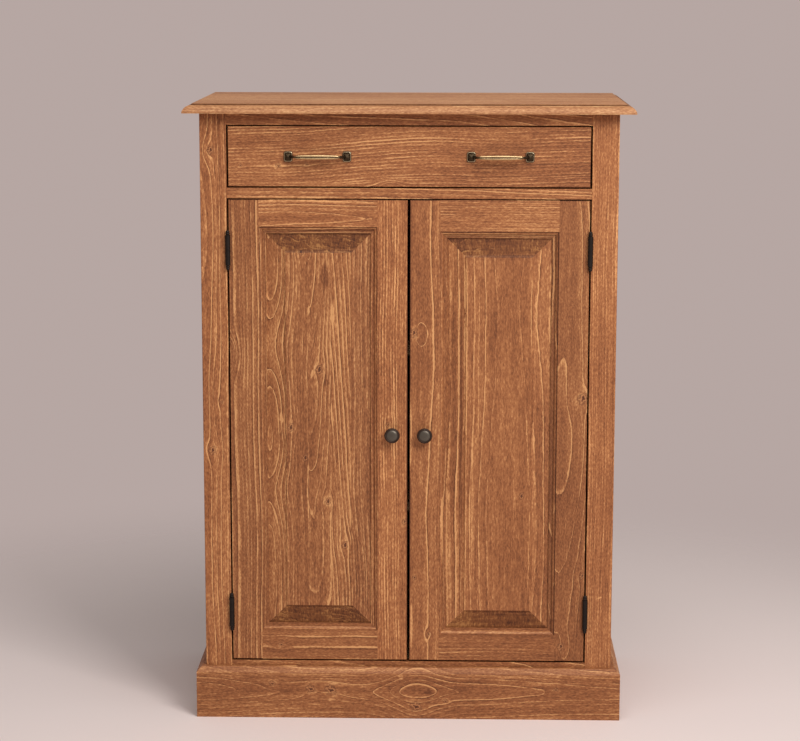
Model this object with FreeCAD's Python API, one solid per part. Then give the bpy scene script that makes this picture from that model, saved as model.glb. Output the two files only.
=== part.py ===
import FreeCAD
import Part
import math
import os

# A solid-wood highboard: one drawer over a pair of panelled doors in a face frame, on a plinth.
# Frame: +X to the right as seen from the front, +Y to the back, +Z up, in millimetres.
# The origin lies on the floor under the middle of the top board.

# Whole piece
TOTAL_HEIGHT = 1210.0
TOP_WIDTH = 860.0
TOP_DEPTH = 450.0
TOP_THICKNESS = 18.0
TOP_OVERHANG = 30.0

# Moulded edge of the top board: a small step, a quarter round and a lip
EDGE_INSET = 17.5
EDGE_STEP = 2.5
EDGE_LIP = 3.0

# Carcass boards
SIDE_THICKNESS = 18.0
BOTTOM_THICKNESS = 18.0
STRETCHER_THICKNESS = 18.0
STRETCHER_DEPTH = 60.0
HOUSING_DEPTH = 6.0
JOINT_CLEARANCE = 0.1

# Face frame
FRAME_THICKNESS = 20.0
STILE_WIDTH = 51.0
RAIL_HEIGHT = 20.0
TOP_RAIL_HEIGHT = 23.0
RAIL_SETBACK = 1.0
DIVIDER_DEPTH = 60.0
FRAME_TENON_LENGTH = 20.0
FRAME_TENON_THICKNESS = 8.0
FRAME_TENON_SHOULDER = 3.0
ARRIS = 1.2

# Plinth
PLINTH_HEIGHT = 102.0
PLINTH_THICKNESS = 18.0
PLINTH_CHAMFER = 10.0
BOTTOM_RAIL_REVEAL = 10.0

# Tongue-and-groove back
BACK_THICKNESS = 12.0
BACK_REBATE = 9.0
BACK_BOARD_COUNT = 5
BACK_JOINT_GAP = 0.5
BACK_BEVEL = 2.0
TONGUE_LENGTH = 6.0
TONGUE_THICKNESS = 4.0
TONGUE_CLEARANCE = 0.3

# Shelves and their pins
SHELF_THICKNESS = 18.0
SHELF_END_PLAY = 2.5
SHELF_BACK_PLAY = 2.0
SHELF_SETBACK = 30.0
SHELF_PIN_RADIUS = 2.5
SHELF_PIN_DEPTH = 9.0
SHELF_PIN_REACH = 10.0
SHELF_PIN_INSET = 45.0
SHELF_PIN_COLLAR = 4.0
SHELF_PIN_COLLAR_THICKNESS = 1.5
SHELF_HOLE_PITCH = 32.0
SHELF_HOLE_ROWS = (-1, 0, 1)
SEAT_CLEARANCE = 0.05

# Drawer
DRAWER_OPENING_HEIGHT = 120.0
DRAWER_SIDE_GAP = 3.0
DRAWER_TOP_GAP = 2.5
DRAWER_BOTTOM_GAP = 3.0
DRAWER_FRONT_THICKNESS = 20.0
DRAWER_SIDE_THICKNESS = 14.0
DRAWER_BACK_THICKNESS = 14.0
DRAWER_BACK_HOUSING = 5.0
DRAWER_BACK_DROP = 10.0
DRAWER_BOTTOM_THICKNESS = 5.0
DRAWER_GROOVE_DEPTH = 6.0
DRAWER_GROOVE_RISE = 10.0
DRAWER_STOP_LENGTH = 32.0
DRAWER_STOP_HEIGHT = 15.0
DOVETAIL_COUNT = 4
DOVETAIL_LAP = 8.0
DOVETAIL_PIN = 7.0
DOVETAIL_FLARE = 2.5

# Drawer runners, with the guide worked on them, and kickers
RUNNER_LEDGE = 12.0
RUNNER_HEIGHT = 22.0
GUIDE_RISE = 18.0
GUIDE_PLAY = 0.5
RUNNING_CLEARANCE = 0.3
KICKER_HEIGHT = 20.0
KICKER_PLAY = 2.0

# Doors: both are one pattern, and the right one hangs the other way up
DOOR_SIDE_GAP = 3.0
DOOR_TOP_GAP = 2.5
DOOR_BOTTOM_GAP = 3.0
DOOR_MIDDLE_GAP = 5.0
DOOR_THICKNESS = 20.0
DOOR_STILE_FACE = 58.0
DOOR_NARROW_RAIL_FACE = 52.0
DOOR_WIDE_RAIL_FACE = 60.0
DOOR_TENON_LENGTH = 25.0
DOOR_TENON_SHOULDER = 12.0

# Moulded inner edge of the door frames: a step, a flat round, a quirk and a fillet, and the groove behind it
STICKING_WIDTH = 13.0
STICKING_STEP = 1.6
STICKING_ROUND = 3.6
STICKING_QUIRK = 0.8
STICKING_FILLET = 6.5
GROOVE_FRONT = 9.0
GROOVE_WIDTH = 7.0
GROOVE_DEPTH = 9.0

# Raised panels
PANEL_TONGUE = 7.0
PANEL_CLEARANCE = 0.2
PANEL_BEVEL_WIDTH = 30.0
PANEL_BEVEL_RISE = 3.5
PANEL_COVE_WIDTH = 7.0
PANEL_COVE_RISE = 2.6
PANEL_FIELD_STEP = 1.0

# Hinges
HINGE_INSET = 97.0
HINGE_RADIUS = 5.0
HINGE_BARREL_LENGTH = 29.0
HINGE_CLEARANCE = 0.3
HINGE_NECK_RADIUS = 3.4
HINGE_NECK_LENGTH = 1.5
HINGE_BULB_RADIUS = 4.4
HINGE_BULB_LENGTH = 3.0
HINGE_TIP_LENGTH = 5.5
HINGE_PIN_RADIUS = 2.4
HINGE_PIN_DEPTH = 20.0
HINGE_RUNNING_FIT = 0.05
HINGE_PRESS_FIT = 0.02
HINGE_DOWEL_RADIUS = 2.5
HINGE_DOWEL_SLANT = 20.0
HINGE_DOWEL_COVER = 3.0
HINGE_DOWEL_CLEARANCE = 0.15

# Knobs
KNOB_RADIUS = 15.0
KNOB_FOOT_RADIUS = 8.0
KNOB_FOOT_HEIGHT = 2.0
KNOB_NECK_RADIUS = 5.5
KNOB_NECK_HEIGHT = 11.0
KNOB_HEAD_HEIGHT = 7.0
KNOB_RIM_WIDTH = 3.5
KNOB_RIM_STEP = 0.8
KNOB_DOME_RISE = 2.5

# Drawer pulls
PULL_SPACING = 112.0
PULL_STANDOFF = 20.0
PULL_BAR_RADIUS = 3.4
PULL_BAR_LENGTH = 84.0
PULL_BEND_RADIUS = 8.0
PULL_FOOT_WIDTH = 11.0
PULL_FOOT_HEIGHT = 13.0
PULL_FOOT_REACH = 6.5
PULL_FOOT_POINT = 3.5
PULL_FOOT_TIP = 2.0
ROSETTE_WIDTH = 17.0
ROSETTE_HEIGHT = 20.0
ROSETTE_CORNER = 4.0
ROSETTE_THICKNESS = 2.5
ROSETTE_CHAMFER = 1.2

# Machine screws through the doors and the drawer front
BOLT_RADIUS = 2.0
BOLT_CLEARANCE = 0.2
BOLT_THREAD_CLEARANCE = 0.05
BOLT_HEAD_RADIUS = 4.0
BOLT_HEAD_HEIGHT = 2.5
KNOB_BOLT_REACH = 10.0
PULL_BOLT_REACH = 5.0
BOLT_END_PLAY = 0.5

# Wood screws under the top board and in the back
TOP_SCREW_RADIUS = 2.0
TOP_SCREW_BITE = 10.0
TOP_SCREW_HEAD_RADIUS = 4.0
TOP_SCREW_HEAD_HEIGHT = 2.5
TOP_SCREW_SPACING = 250.0
BACK_SCREW_RADIUS = 1.5
BACK_SCREW_BITE = 18.0
BACK_SCREW_HEAD_RADIUS = 3.0
BACK_SCREW_HEAD_HEIGHT = 2.0
BACK_SCREW_SPACING = 90.0
SCREW_CLEARANCE = 0.1

# Magnetic catches and strike plates
CATCH_WIDTH = 40.0
CATCH_DEPTH = 16.0
CATCH_HEIGHT = 13.0
CATCH_OFFSET = 40.0
CATCH_CLEARANCE = 0.3
STRIKE_WIDTH = 26.0
STRIKE_HEIGHT = 14.0
STRIKE_THICKNESS = 1.5

# Planes that the pieces share
Vector = FreeCAD.Vector
UP = Vector(0, 0, 1)
FORWARD = Vector(0, -1, 0)
X_TOP = TOP_WIDTH / 2
X_BODY = X_TOP - TOP_OVERHANG
X_INSIDE = X_BODY - SIDE_THICKNESS
X_OPENING = X_BODY - STILE_WIDTH
Y_FRONT = -TOP_DEPTH / 2
Y_REAR = TOP_DEPTH / 2
Y_FACE = Y_FRONT + TOP_OVERHANG
Y_FRAME_BACK = Y_FACE + FRAME_THICKNESS
Y_RAIL = Y_FACE + RAIL_SETBACK
Y_BACK = Y_REAR - BACK_THICKNESS
Y_DOOR_BACK = Y_FACE + DOOR_THICKNESS
Z_UNDER_TOP = TOTAL_HEIGHT - TOP_THICKNESS
Z_DRAWER_TOP = Z_UNDER_TOP - TOP_RAIL_HEIGHT
Z_DRAWER_BOTTOM = Z_DRAWER_TOP - DRAWER_OPENING_HEIGHT
Z_DOORS_TOP = Z_DRAWER_BOTTOM - RAIL_HEIGHT
Z_DOORS_BOTTOM = PLINTH_HEIGHT + BOTTOM_RAIL_REVEAL
Z_STRETCHER = Z_UNDER_TOP - STRETCHER_THICKNESS
Z_BOTTOM_BOARD = Z_DOORS_BOTTOM - BOTTOM_THICKNESS

# Places of the drawer box
X_DRAWER = X_OPENING - DRAWER_SIDE_GAP
X_DRAWER_INSIDE = X_DRAWER - DRAWER_SIDE_THICKNESS
Y_DRAWER_INSIDE = Y_FACE + DRAWER_FRONT_THICKNESS
Y_DRAWER_END = Y_BACK - DRAWER_STOP_LENGTH - RUNNING_CLEARANCE
Z_DRAWER_LOW = Z_DRAWER_BOTTOM + DRAWER_BOTTOM_GAP
Z_DRAWER_HIGH = Z_DRAWER_TOP - DRAWER_TOP_GAP
Z_KICKER = Z_STRETCHER - KICKER_HEIGHT
Z_DRAWER_SIDE_TOP = Z_KICKER - KICKER_PLAY
Z_DRAWER_GROOVE = Z_DRAWER_LOW + DRAWER_GROOVE_RISE
Z_RUNNER = Z_DRAWER_LOW - RUNNING_CLEARANCE

# Places of the doors
X_DOOR = X_OPENING - DOOR_SIDE_GAP
DOOR_WIDTH = X_DOOR - DOOR_MIDDLE_GAP / 2
Z_DOOR_LOW = Z_DOORS_BOTTOM + DOOR_BOTTOM_GAP
Z_DOOR_HIGH = Z_DOORS_TOP - DOOR_TOP_GAP
DOOR_HEIGHT = Z_DOOR_HIGH - Z_DOOR_LOW
DOOR_STILE = DOOR_STILE_FACE + STICKING_WIDTH
GROOVE_BACK = GROOVE_FRONT + GROOVE_WIDTH

# Hinge axes stand in the middle of the side gaps, just clear of both arrises
X_HINGE = X_OPENING - DOOR_SIDE_GAP / 2
HINGE_PROUD = math.sqrt((HINGE_RADIUS + HINGE_CLEARANCE) ** 2 - (DOOR_SIDE_GAP / 2) ** 2)
Y_HINGE = Y_FACE - HINGE_PROUD
HINGE_HEIGHTS = (Z_DOOR_LOW + HINGE_INSET, Z_DOOR_HIGH - HINGE_INSET)

SIDES = {"left": -1, "right": 1}


def block(xs, ys, zs):
    """Block between two x, two y and two z values, each pair in any order."""
    low = Vector(min(xs), min(ys), min(zs))
    high = Vector(max(xs), max(ys), max(zs))
    size = high - low
    return Part.makeBox(size.x, size.y, size.z, low)


def outline(steps, place):
    """Closed face. A step is a corner (u, v), or two points for an arc: one on its way and its end."""
    first = place(*steps[0])
    here = first
    edges = []
    for step in steps[1:]:
        if isinstance(step[0], tuple):
            on_arc, end = (place(*pair) for pair in step)
            edges.append(Part.Arc(here, on_arc, end).toShape())
        else:
            end = place(*step)
            edges.append(Part.LineSegment(here, end).toShape())
        here = end
    edges.append(Part.LineSegment(here, first).toShape())
    return Part.Face(Part.Wire(edges))


def prism(steps, place, sweep):
    """Solid swept straight from a closed outline."""
    return outline(steps, place).extrude(sweep)


def turned(steps, base, axis):
    """Solid of revolution; steps hold radius and height above base along the axis."""
    across = axis.cross(Vector(axis.y, axis.z, axis.x)).normalize()
    face = outline(steps, lambda radius, height: base + across * radius + axis * height)
    return face.revolve(base, axis, 360)


def rod(base, axis, radius, length):
    """Plain round bar, also used as a drill."""
    return Part.makeCylinder(radius, length, base, axis)


def headed(base, axis, shank_radius, shank_length, head_radius, head_height):
    """Screw whose head lies behind base and whose shank runs along the axis."""
    steps = [(0, -head_height), (head_radius, -head_height), (head_radius, 0),
             (shank_radius, 0), (shank_radius, shank_length), (0, shank_length)]
    return turned(steps, base, axis)


def level_arc(start, end):
    """Arc that leaves start along u and ends at end, as its halfway point and its end."""
    run = end[0] - start[0]
    rise = end[1] - start[1]
    radius = (run ** 2 + rise ** 2) / (2 * rise)
    half_turn = math.atan2(abs(run), abs(radius - rise) * math.copysign(1, abs(radius) - abs(rise))) / 2
    halfway = (start[0] + math.copysign(abs(radius) * math.sin(half_turn), run),
               start[1] + radius * (1 - math.cos(half_turn)))
    return halfway, end


def eased(shape, wanted):
    """Shape with a small round on each edge that wanted names."""
    edges = [edge for edge in shape.Edges if wanted(edge)]
    return shape.makeFillet(ARRIS, edges)


def lies(edge, **where):
    """Whether all of an edge's ends lie at the given x, y or z."""
    slack = 1e-6
    return all(abs(getattr(vertex.Point, axis) - value) < slack
               for vertex in edge.Vertexes for axis, value in where.items())


def save(name, *solids):
    """One STEP file for one node."""
    shape = solids[0] if len(solids) == 1 else Part.makeCompound(list(solids))
    shape.exportStep(os.path.join("parts", name + ".step"))


def top_screw_places():
    """Feet of the screws that hold the top board, under both stretchers."""
    rows = (Y_FRAME_BACK + STRETCHER_DEPTH / 2, Y_BACK - STRETCHER_DEPTH / 2)
    return [Vector(column * TOP_SCREW_SPACING, y, Z_STRETCHER) for y in rows for column in (-1, 0, 1)]


def moulded_edge(edge, inward):
    """Moulding of the top board at one edge: foot of its step, halfway up its round, and its lip."""
    step_foot = (edge + inward * EDGE_INSET, TOTAL_HEIGHT - EDGE_STEP)
    halfway, lip = level_arc(step_foot, (edge, Z_UNDER_TOP + EDGE_LIP))
    return step_foot, halfway, lip


def top_board():
    """Board with its edge moulded on the front and both ends, and plain at the back."""
    left_foot, left_way, left_lip = moulded_edge(-X_TOP, 1)
    right_foot, right_way, right_lip = moulded_edge(X_TOP, -1)
    front_foot, front_way, front_lip = moulded_edge(Y_FRONT, 1)
    across = [(-X_TOP, Z_UNDER_TOP), (X_TOP, Z_UNDER_TOP), right_lip, (right_way, right_foot),
              (right_foot[0], TOTAL_HEIGHT), (left_foot[0], TOTAL_HEIGHT), left_foot, (left_way, left_lip)]
    along = [(Y_REAR, Z_UNDER_TOP), (Y_REAR, TOTAL_HEIGHT), (front_foot[0], TOTAL_HEIGHT), front_foot,
             (front_way, front_lip), (Y_FRONT, Z_UNDER_TOP)]
    board = prism(across, lambda x, z: Vector(x, Y_FRONT, z), Vector(0, TOP_DEPTH, 0))
    board = board.common(prism(along, lambda y, z: Vector(-X_TOP, y, z), Vector(TOP_WIDTH, 0, 0)))
    pilots = [rod(foot, UP, TOP_SCREW_RADIUS + SCREW_CLEARANCE,
                  STRETCHER_THICKNESS + TOP_SCREW_BITE + BOLT_END_PLAY) for foot in top_screw_places()]
    return board.cut(pilots)


def stretchers():
    """Two flat boards under the top, housed in the side panels."""
    half = X_INSIDE + HOUSING_DEPTH
    drills = [rod(foot, UP, TOP_SCREW_RADIUS + SCREW_CLEARANCE, STRETCHER_THICKNESS)
              for foot in top_screw_places()]
    front = block((-half, half), (Y_FRAME_BACK, Y_FRAME_BACK + STRETCHER_DEPTH), (Z_STRETCHER, Z_UNDER_TOP))
    rear = block((-half, half), (Y_BACK - STRETCHER_DEPTH, Y_BACK), (Z_STRETCHER, Z_UNDER_TOP))
    return front.cut(drills), rear.cut(drills + back_pilots())


def bottom_board():
    """Floor of the cupboard, housed in the side panels."""
    half = X_INSIDE + HOUSING_DEPTH
    board = block((-half, half), (Y_FRAME_BACK, Y_BACK), (Z_BOTTOM_BOARD, Z_DOORS_BOTTOM))
    return board.cut(back_pilots())


def shelf_levels():
    """Undersides of the lower and the upper shelf, which part the cupboard in three."""
    clear = (Z_DOORS_TOP - Z_DOORS_BOTTOM - 2 * SHELF_THICKNESS) / 3
    lower = Z_DOORS_BOTTOM + clear
    return lower, lower + SHELF_THICKNESS + clear


Y_SHELF_FRONT = Y_DOOR_BACK + SHELF_SETBACK
Y_SHELF_BACK = Y_BACK - SHELF_BACK_PLAY
SHELF_PIN_ROWS = (Y_SHELF_FRONT + SHELF_PIN_INSET, Y_SHELF_BACK - SHELF_PIN_INSET)


def shelf(level):
    """Loose board that lies on four pins."""
    half = X_INSIDE - SHELF_END_PLAY
    board = block((-half, half), (Y_SHELF_FRONT, Y_SHELF_BACK), (level, level + SHELF_THICKNESS))
    return eased(board, lambda edge: lies(edge, y=Y_SHELF_FRONT) and edge.Length > SHELF_THICKNESS)


def shelf_pin(side, y, level):
    """Pin with a collar, pushed into a side panel."""
    steps = [(0, 0), (SHELF_PIN_RADIUS, 0), (SHELF_PIN_RADIUS, SHELF_PIN_DEPTH),
             (SHELF_PIN_COLLAR, SHELF_PIN_DEPTH),
             (SHELF_PIN_COLLAR, SHELF_PIN_DEPTH + SHELF_PIN_COLLAR_THICKNESS),
             (SHELF_PIN_RADIUS, SHELF_PIN_DEPTH + SHELF_PIN_COLLAR_THICKNESS),
             (SHELF_PIN_RADIUS, SHELF_PIN_DEPTH + SHELF_PIN_REACH), (0, SHELF_PIN_DEPTH + SHELF_PIN_REACH)]
    axis_height = level - SHELF_PIN_RADIUS - SEAT_CLEARANCE
    base = Vector(side * (X_INSIDE + SHELF_PIN_DEPTH), y, axis_height)
    return turned(steps, base, Vector(-side, 0, 0))


def side_panel(side):
    """Side of the carcass, down to the floor, rebated for the back and bored for shelf pins."""
    panel = block((side * X_INSIDE, side * X_BODY), (Y_FRAME_BACK, Y_REAR), (0, Z_UNDER_TOP))
    housing = (side * X_INSIDE, side * (X_INSIDE + HOUSING_DEPTH))
    rebate = block((side * X_INSIDE, side * (X_INSIDE + BACK_REBATE)), (Y_BACK, Y_REAR), (0, Z_UNDER_TOP))
    floor = block(housing, (Y_FRAME_BACK, Y_BACK), (Z_BOTTOM_BOARD, Z_DOORS_BOTTOM))
    front = block(housing, (Y_FRAME_BACK, Y_FRAME_BACK + STRETCHER_DEPTH), (Z_STRETCHER, Z_UNDER_TOP))
    rear = block(housing, (Y_BACK - STRETCHER_DEPTH, Y_BACK), (Z_STRETCHER, Z_UNDER_TOP))
    holes = []
    for level in shelf_levels():
        for row in SHELF_HOLE_ROWS:
            height = level - SHELF_PIN_RADIUS - SEAT_CLEARANCE + row * SHELF_HOLE_PITCH
            for y in SHELF_PIN_ROWS:
                mouth = Vector(side * X_INSIDE, y, height)
                holes.append(rod(mouth, Vector(side, 0, 0), SHELF_PIN_RADIUS + SEAT_CLEARANCE,
                                 SHELF_PIN_DEPTH + BOLT_END_PLAY))
    return panel.cut([rebate, floor, front, rear] + holes)


def rail_levels():
    """Lower and upper edge of each rail of the face frame."""
    return {"top": (Z_DRAWER_TOP, Z_UNDER_TOP),
            "middle": (Z_DOORS_TOP, Z_DRAWER_BOTTOM),
            "bottom": (Z_DOORS_BOTTOM - RAIL_HEIGHT, Z_DOORS_BOTTOM)}


def frame_tenon(side, levels, play):
    """Tenon at one end of a rail or, with some play, its mortise in the stile."""
    middle = Y_FACE + FRAME_THICKNESS / 2
    half = FRAME_TENON_THICKNESS / 2 + play
    low = levels[0] + FRAME_TENON_SHOULDER - play
    high = levels[1] - FRAME_TENON_SHOULDER + play
    return block((side * X_OPENING, side * (X_OPENING + FRAME_TENON_LENGTH + play)),
                 (middle - half, middle + half), (low, high))


def face_stile(side):
    """Upright of the face frame, from the floor to the top, mortised and bored for hinges."""
    stile = block((side * X_OPENING, side * X_BODY), (Y_FACE, Y_FRAME_BACK), (0, Z_UNDER_TOP))
    stile = eased(stile, lambda edge: lies(edge, y=Y_FACE) and edge.Length > STILE_WIDTH)
    mortises = [frame_tenon(side, levels, JOINT_CLEARANCE) for levels in rail_levels().values()]
    drills = [hinge_dowel(side, height, "frame", HINGE_DOWEL_CLEARANCE) for height in HINGE_HEIGHTS]
    return stile.cut(mortises + drills)


def face_rail(name):
    """Rail between the stiles, set back a little; the middle one is a deep divider."""
    levels = rail_levels()[name]
    back = Y_FACE + DIVIDER_DEPTH if name == "middle" else Y_FRAME_BACK
    rail = block((-X_OPENING, X_OPENING), (Y_RAIL, back), levels)
    return rail.fuse([frame_tenon(side, levels, 0) for side in SIDES.values()])


def plinth_section(face, inner):
    """Upright section of a plinth board, chamfered at the top of its outer face."""
    slope = math.copysign(PLINTH_CHAMFER, inner - face)
    return [(inner, 0), (face, 0), (face, PLINTH_HEIGHT - PLINTH_CHAMFER), (face + slope, PLINTH_HEIGHT),
            (inner, PLINTH_HEIGHT)]


def plinth_front():
    """Front plinth board, mitred at both ends."""
    outer = X_BODY + PLINTH_THICKNESS
    face = Y_FACE - PLINTH_THICKNESS
    board = prism(plinth_section(face, Y_FACE), lambda y, z: Vector(-outer, y, z), Vector(2 * outer, 0, 0))
    plan = [(-outer, face), (outer, face), (X_BODY, Y_FACE), (-X_BODY, Y_FACE)]
    return board.common(prism(plan, lambda x, y: Vector(x, y, 0), UP * PLINTH_HEIGHT))


def plinth_side(side):
    """Side plinth board, mitred at the front."""
    outer = side * (X_BODY + PLINTH_THICKNESS)
    inner = side * X_BODY
    face = Y_FACE - PLINTH_THICKNESS
    board = prism(plinth_section(outer, inner), lambda x, z: Vector(x, face, z), Vector(0, Y_REAR - face, 0))
    plan = [(outer, face), (inner, Y_FACE), (inner, Y_REAR), (outer, Y_REAR)]
    return board.common(prism(plan, lambda x, y: Vector(x, y, 0), UP * PLINTH_HEIGHT))


def back_board_edges():
    """Left and right face edge of each back board."""
    half = X_INSIDE + BACK_REBATE - BACK_JOINT_GAP
    pitch = (2 * half + BACK_JOINT_GAP) / BACK_BOARD_COUNT
    return [(-half + i * pitch, -half + (i + 1) * pitch - BACK_JOINT_GAP) for i in range(BACK_BOARD_COUNT)]


def back_screw_places():
    """Where the back boards are screwed: two screws at the top and two at the bottom of each."""
    heights = (Z_UNDER_TOP - STRETCHER_THICKNESS / 2, Z_DOORS_BOTTOM - BOTTOM_THICKNESS / 2)
    offsets = (-BACK_SCREW_SPACING / 2, BACK_SCREW_SPACING / 2)
    return [Vector((left + right) / 2 + offset, Y_REAR - BACK_SCREW_HEAD_HEIGHT, height)
            for left, right in back_board_edges() for offset in offsets for height in heights]


def back_pilots():
    """Drills for the shanks of the back screws."""
    length = BACK_THICKNESS - BACK_SCREW_HEAD_HEIGHT + BACK_SCREW_BITE + BOLT_END_PLAY
    return [rod(place, FORWARD, BACK_SCREW_RADIUS + SCREW_CLEARANCE, length) for place in back_screw_places()]


def back_board(index):
    """Upright board with a groove on its left edge, a tongue on its right and bevelled arrises."""
    left, right = back_board_edges()[index]
    middle = (Y_BACK + Y_REAR) / 2
    tongue = TONGUE_THICKNESS / 2
    groove = tongue + TONGUE_CLEARANCE
    steps = [(left + BACK_BEVEL, Y_BACK), (right - BACK_BEVEL, Y_BACK), (right, Y_BACK + BACK_BEVEL)]
    if index < BACK_BOARD_COUNT - 1:
        steps += [(right, middle - tongue), (right + TONGUE_LENGTH, middle - tongue),
                  (right + TONGUE_LENGTH, middle + tongue), (right, middle + tongue)]
    steps += [(right, Y_REAR - BACK_BEVEL), (right - BACK_BEVEL, Y_REAR), (left + BACK_BEVEL, Y_REAR),
              (left, Y_REAR - BACK_BEVEL)]
    if index > 0:
        steps += [(left, middle + groove), (left + TONGUE_LENGTH, middle + groove),
                  (left + TONGUE_LENGTH, middle - groove), (left, middle - groove)]
    steps.append((left, Y_BACK + BACK_BEVEL))
    board = prism(steps, lambda x, y: Vector(x, y, Z_BOTTOM_BOARD), UP * (Z_UNDER_TOP - Z_BOTTOM_BOARD))
    sinks = [rod(place, -FORWARD, BACK_SCREW_HEAD_RADIUS + SCREW_CLEARANCE, BACK_SCREW_HEAD_HEIGHT)
             for place in back_screw_places()]
    return board.cut(back_pilots() + sinks)


def drawer_runner(side):
    """Ledge under a drawer side, with the guide beside it, along the side panel."""
    ledge = side * (X_OPENING - RUNNER_LEDGE)
    guide = side * (X_DRAWER + GUIDE_PLAY)
    wall = side * X_INSIDE
    low = Z_RUNNER - RUNNER_HEIGHT
    steps = [(wall, low), (ledge, low), (ledge, Z_RUNNER), (guide, Z_RUNNER), (guide, Z_RUNNER + GUIDE_RISE),
             (wall, Z_RUNNER + GUIDE_RISE)]
    start = Y_FACE + DIVIDER_DEPTH
    return prism(steps, lambda x, z: Vector(x, start, z), Vector(0, Y_BACK - start, 0))


def drawer_kicker(side):
    """Strip above a drawer side that keeps the open drawer from tipping."""
    return block((side * (X_OPENING - RUNNER_LEDGE), side * X_INSIDE), (Y_FRAME_BACK, Y_BACK),
                 (Z_KICKER, Z_STRETCHER))


def drawer_stop(side):
    """Small block at the end of a runner, against which the closed drawer rests."""
    return block((side * (X_OPENING - RUNNER_LEDGE), side * (X_DRAWER + GUIDE_PLAY)),
                 (Y_BACK - DRAWER_STOP_LENGTH, Y_BACK), (Z_RUNNER, Z_RUNNER + DRAWER_STOP_HEIGHT))


def dovetails(side, play):
    """Tails at the front end of a drawer side or, with some play, their sockets in the front."""
    height = Z_DRAWER_SIDE_TOP - Z_DRAWER_LOW
    pitch = height / DOVETAIL_COUNT
    root = Y_DRAWER_INSIDE
    end = Y_FACE + DOVETAIL_LAP - play
    inner = side * (X_DRAWER_INSIDE - play)
    tails = []
    for index in range(DOVETAIL_COUNT):
        middle = Z_DRAWER_LOW + (index + 0.5) * pitch
        narrow = (pitch - DOVETAIL_PIN) / 2 - DOVETAIL_FLARE / 2 + play
        wide = narrow + DOVETAIL_FLARE
        steps = [(root, middle - narrow), (end, middle - wide), (end, middle + wide), (root, middle + narrow)]
        tails.append(prism(steps, lambda y, z: Vector(inner, y, z), Vector(side * X_DRAWER - inner, 0, 0)))
    return tails


def drawer_front():
    """Front board with sockets for the tails, a groove for the bottom and holes for the pull screws."""
    board = block((-X_DRAWER, X_DRAWER), (Y_FACE, Y_DRAWER_INSIDE), (Z_DRAWER_LOW, Z_DRAWER_HIGH))
    board = eased(board, lambda edge: lies(edge, y=Y_FACE))
    sockets = [tail for side in SIDES.values() for tail in dovetails(side, JOINT_CLEARANCE)]
    groove = block((-X_DRAWER_INSIDE - DRAWER_GROOVE_DEPTH, X_DRAWER_INSIDE + DRAWER_GROOVE_DEPTH),
                   (Y_DRAWER_INSIDE - DRAWER_GROOVE_DEPTH, Y_DRAWER_INSIDE), drawer_groove_levels())
    holes = [rod(Vector(x, Y_DRAWER_INSIDE, pull_height()), FORWARD, BOLT_RADIUS + BOLT_CLEARANCE,
                 DRAWER_FRONT_THICKNESS) for x in pull_screw_columns()]
    return board.cut(sockets + [groove] + holes)


def drawer_groove_levels():
    """Lower and upper face of the groove that holds the drawer bottom."""
    return (Z_DRAWER_GROOVE - JOINT_CLEARANCE,
            Z_DRAWER_GROOVE + DRAWER_BOTTOM_THICKNESS + JOINT_CLEARANCE)


def drawer_side(side):
    """Side of the drawer, tailed at the front, grooved for the bottom and housed for the back."""
    inner = side * X_DRAWER_INSIDE
    board = block((inner, side * X_DRAWER), (Y_DRAWER_INSIDE, Y_DRAWER_END), (Z_DRAWER_LOW, Z_DRAWER_SIDE_TOP))
    board = board.fuse(dovetails(side, 0)).removeSplitter()
    groove = block((inner, inner + side * DRAWER_GROOVE_DEPTH), (Y_FACE, Y_DRAWER_END), drawer_groove_levels())
    housing = block((inner, inner + side * DRAWER_BACK_HOUSING), drawer_back_depth(),
                    (drawer_groove_levels()[1], Z_DRAWER_SIDE_TOP))
    return board.cut([groove, housing])


def drawer_back_depth():
    """Front and rear face of the drawer's back board."""
    rear = Y_DRAWER_END - DRAWER_BACK_THICKNESS
    return rear - DRAWER_BACK_THICKNESS, rear


def drawer_back():
    """Back board of the drawer, lower than the sides, standing on the bottom."""
    half = X_DRAWER_INSIDE + DRAWER_BACK_HOUSING
    return block((-half, half), drawer_back_depth(),
                 (drawer_groove_levels()[1], Z_DRAWER_SIDE_TOP - DRAWER_BACK_DROP))


def drawer_bottom():
    """Plywood sheet in the grooves of the front and the sides."""
    half = X_DRAWER_INSIDE + DRAWER_GROOVE_DEPTH - JOINT_CLEARANCE
    return block((-half, half), (Y_DRAWER_INSIDE - DRAWER_GROOVE_DEPTH + JOINT_CLEARANCE, Y_DRAWER_END),
                 (Z_DRAWER_GROOVE, Z_DRAWER_GROOVE + DRAWER_BOTTOM_THICKNESS))


def pull_height():
    """Height of the pulls, at the middle of the drawer front."""
    return (Z_DRAWER_LOW + Z_DRAWER_HIGH) / 2


def pull_centre(side):
    """Middle of a pull, at a quarter of the opening."""
    return side * X_OPENING / 2


def pull_screw_columns():
    """Places of the four pull screws along the drawer front."""
    return [pull_centre(side) + end * PULL_SPACING / 2 for side in SIDES.values() for end in (-1, 1)]


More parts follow.
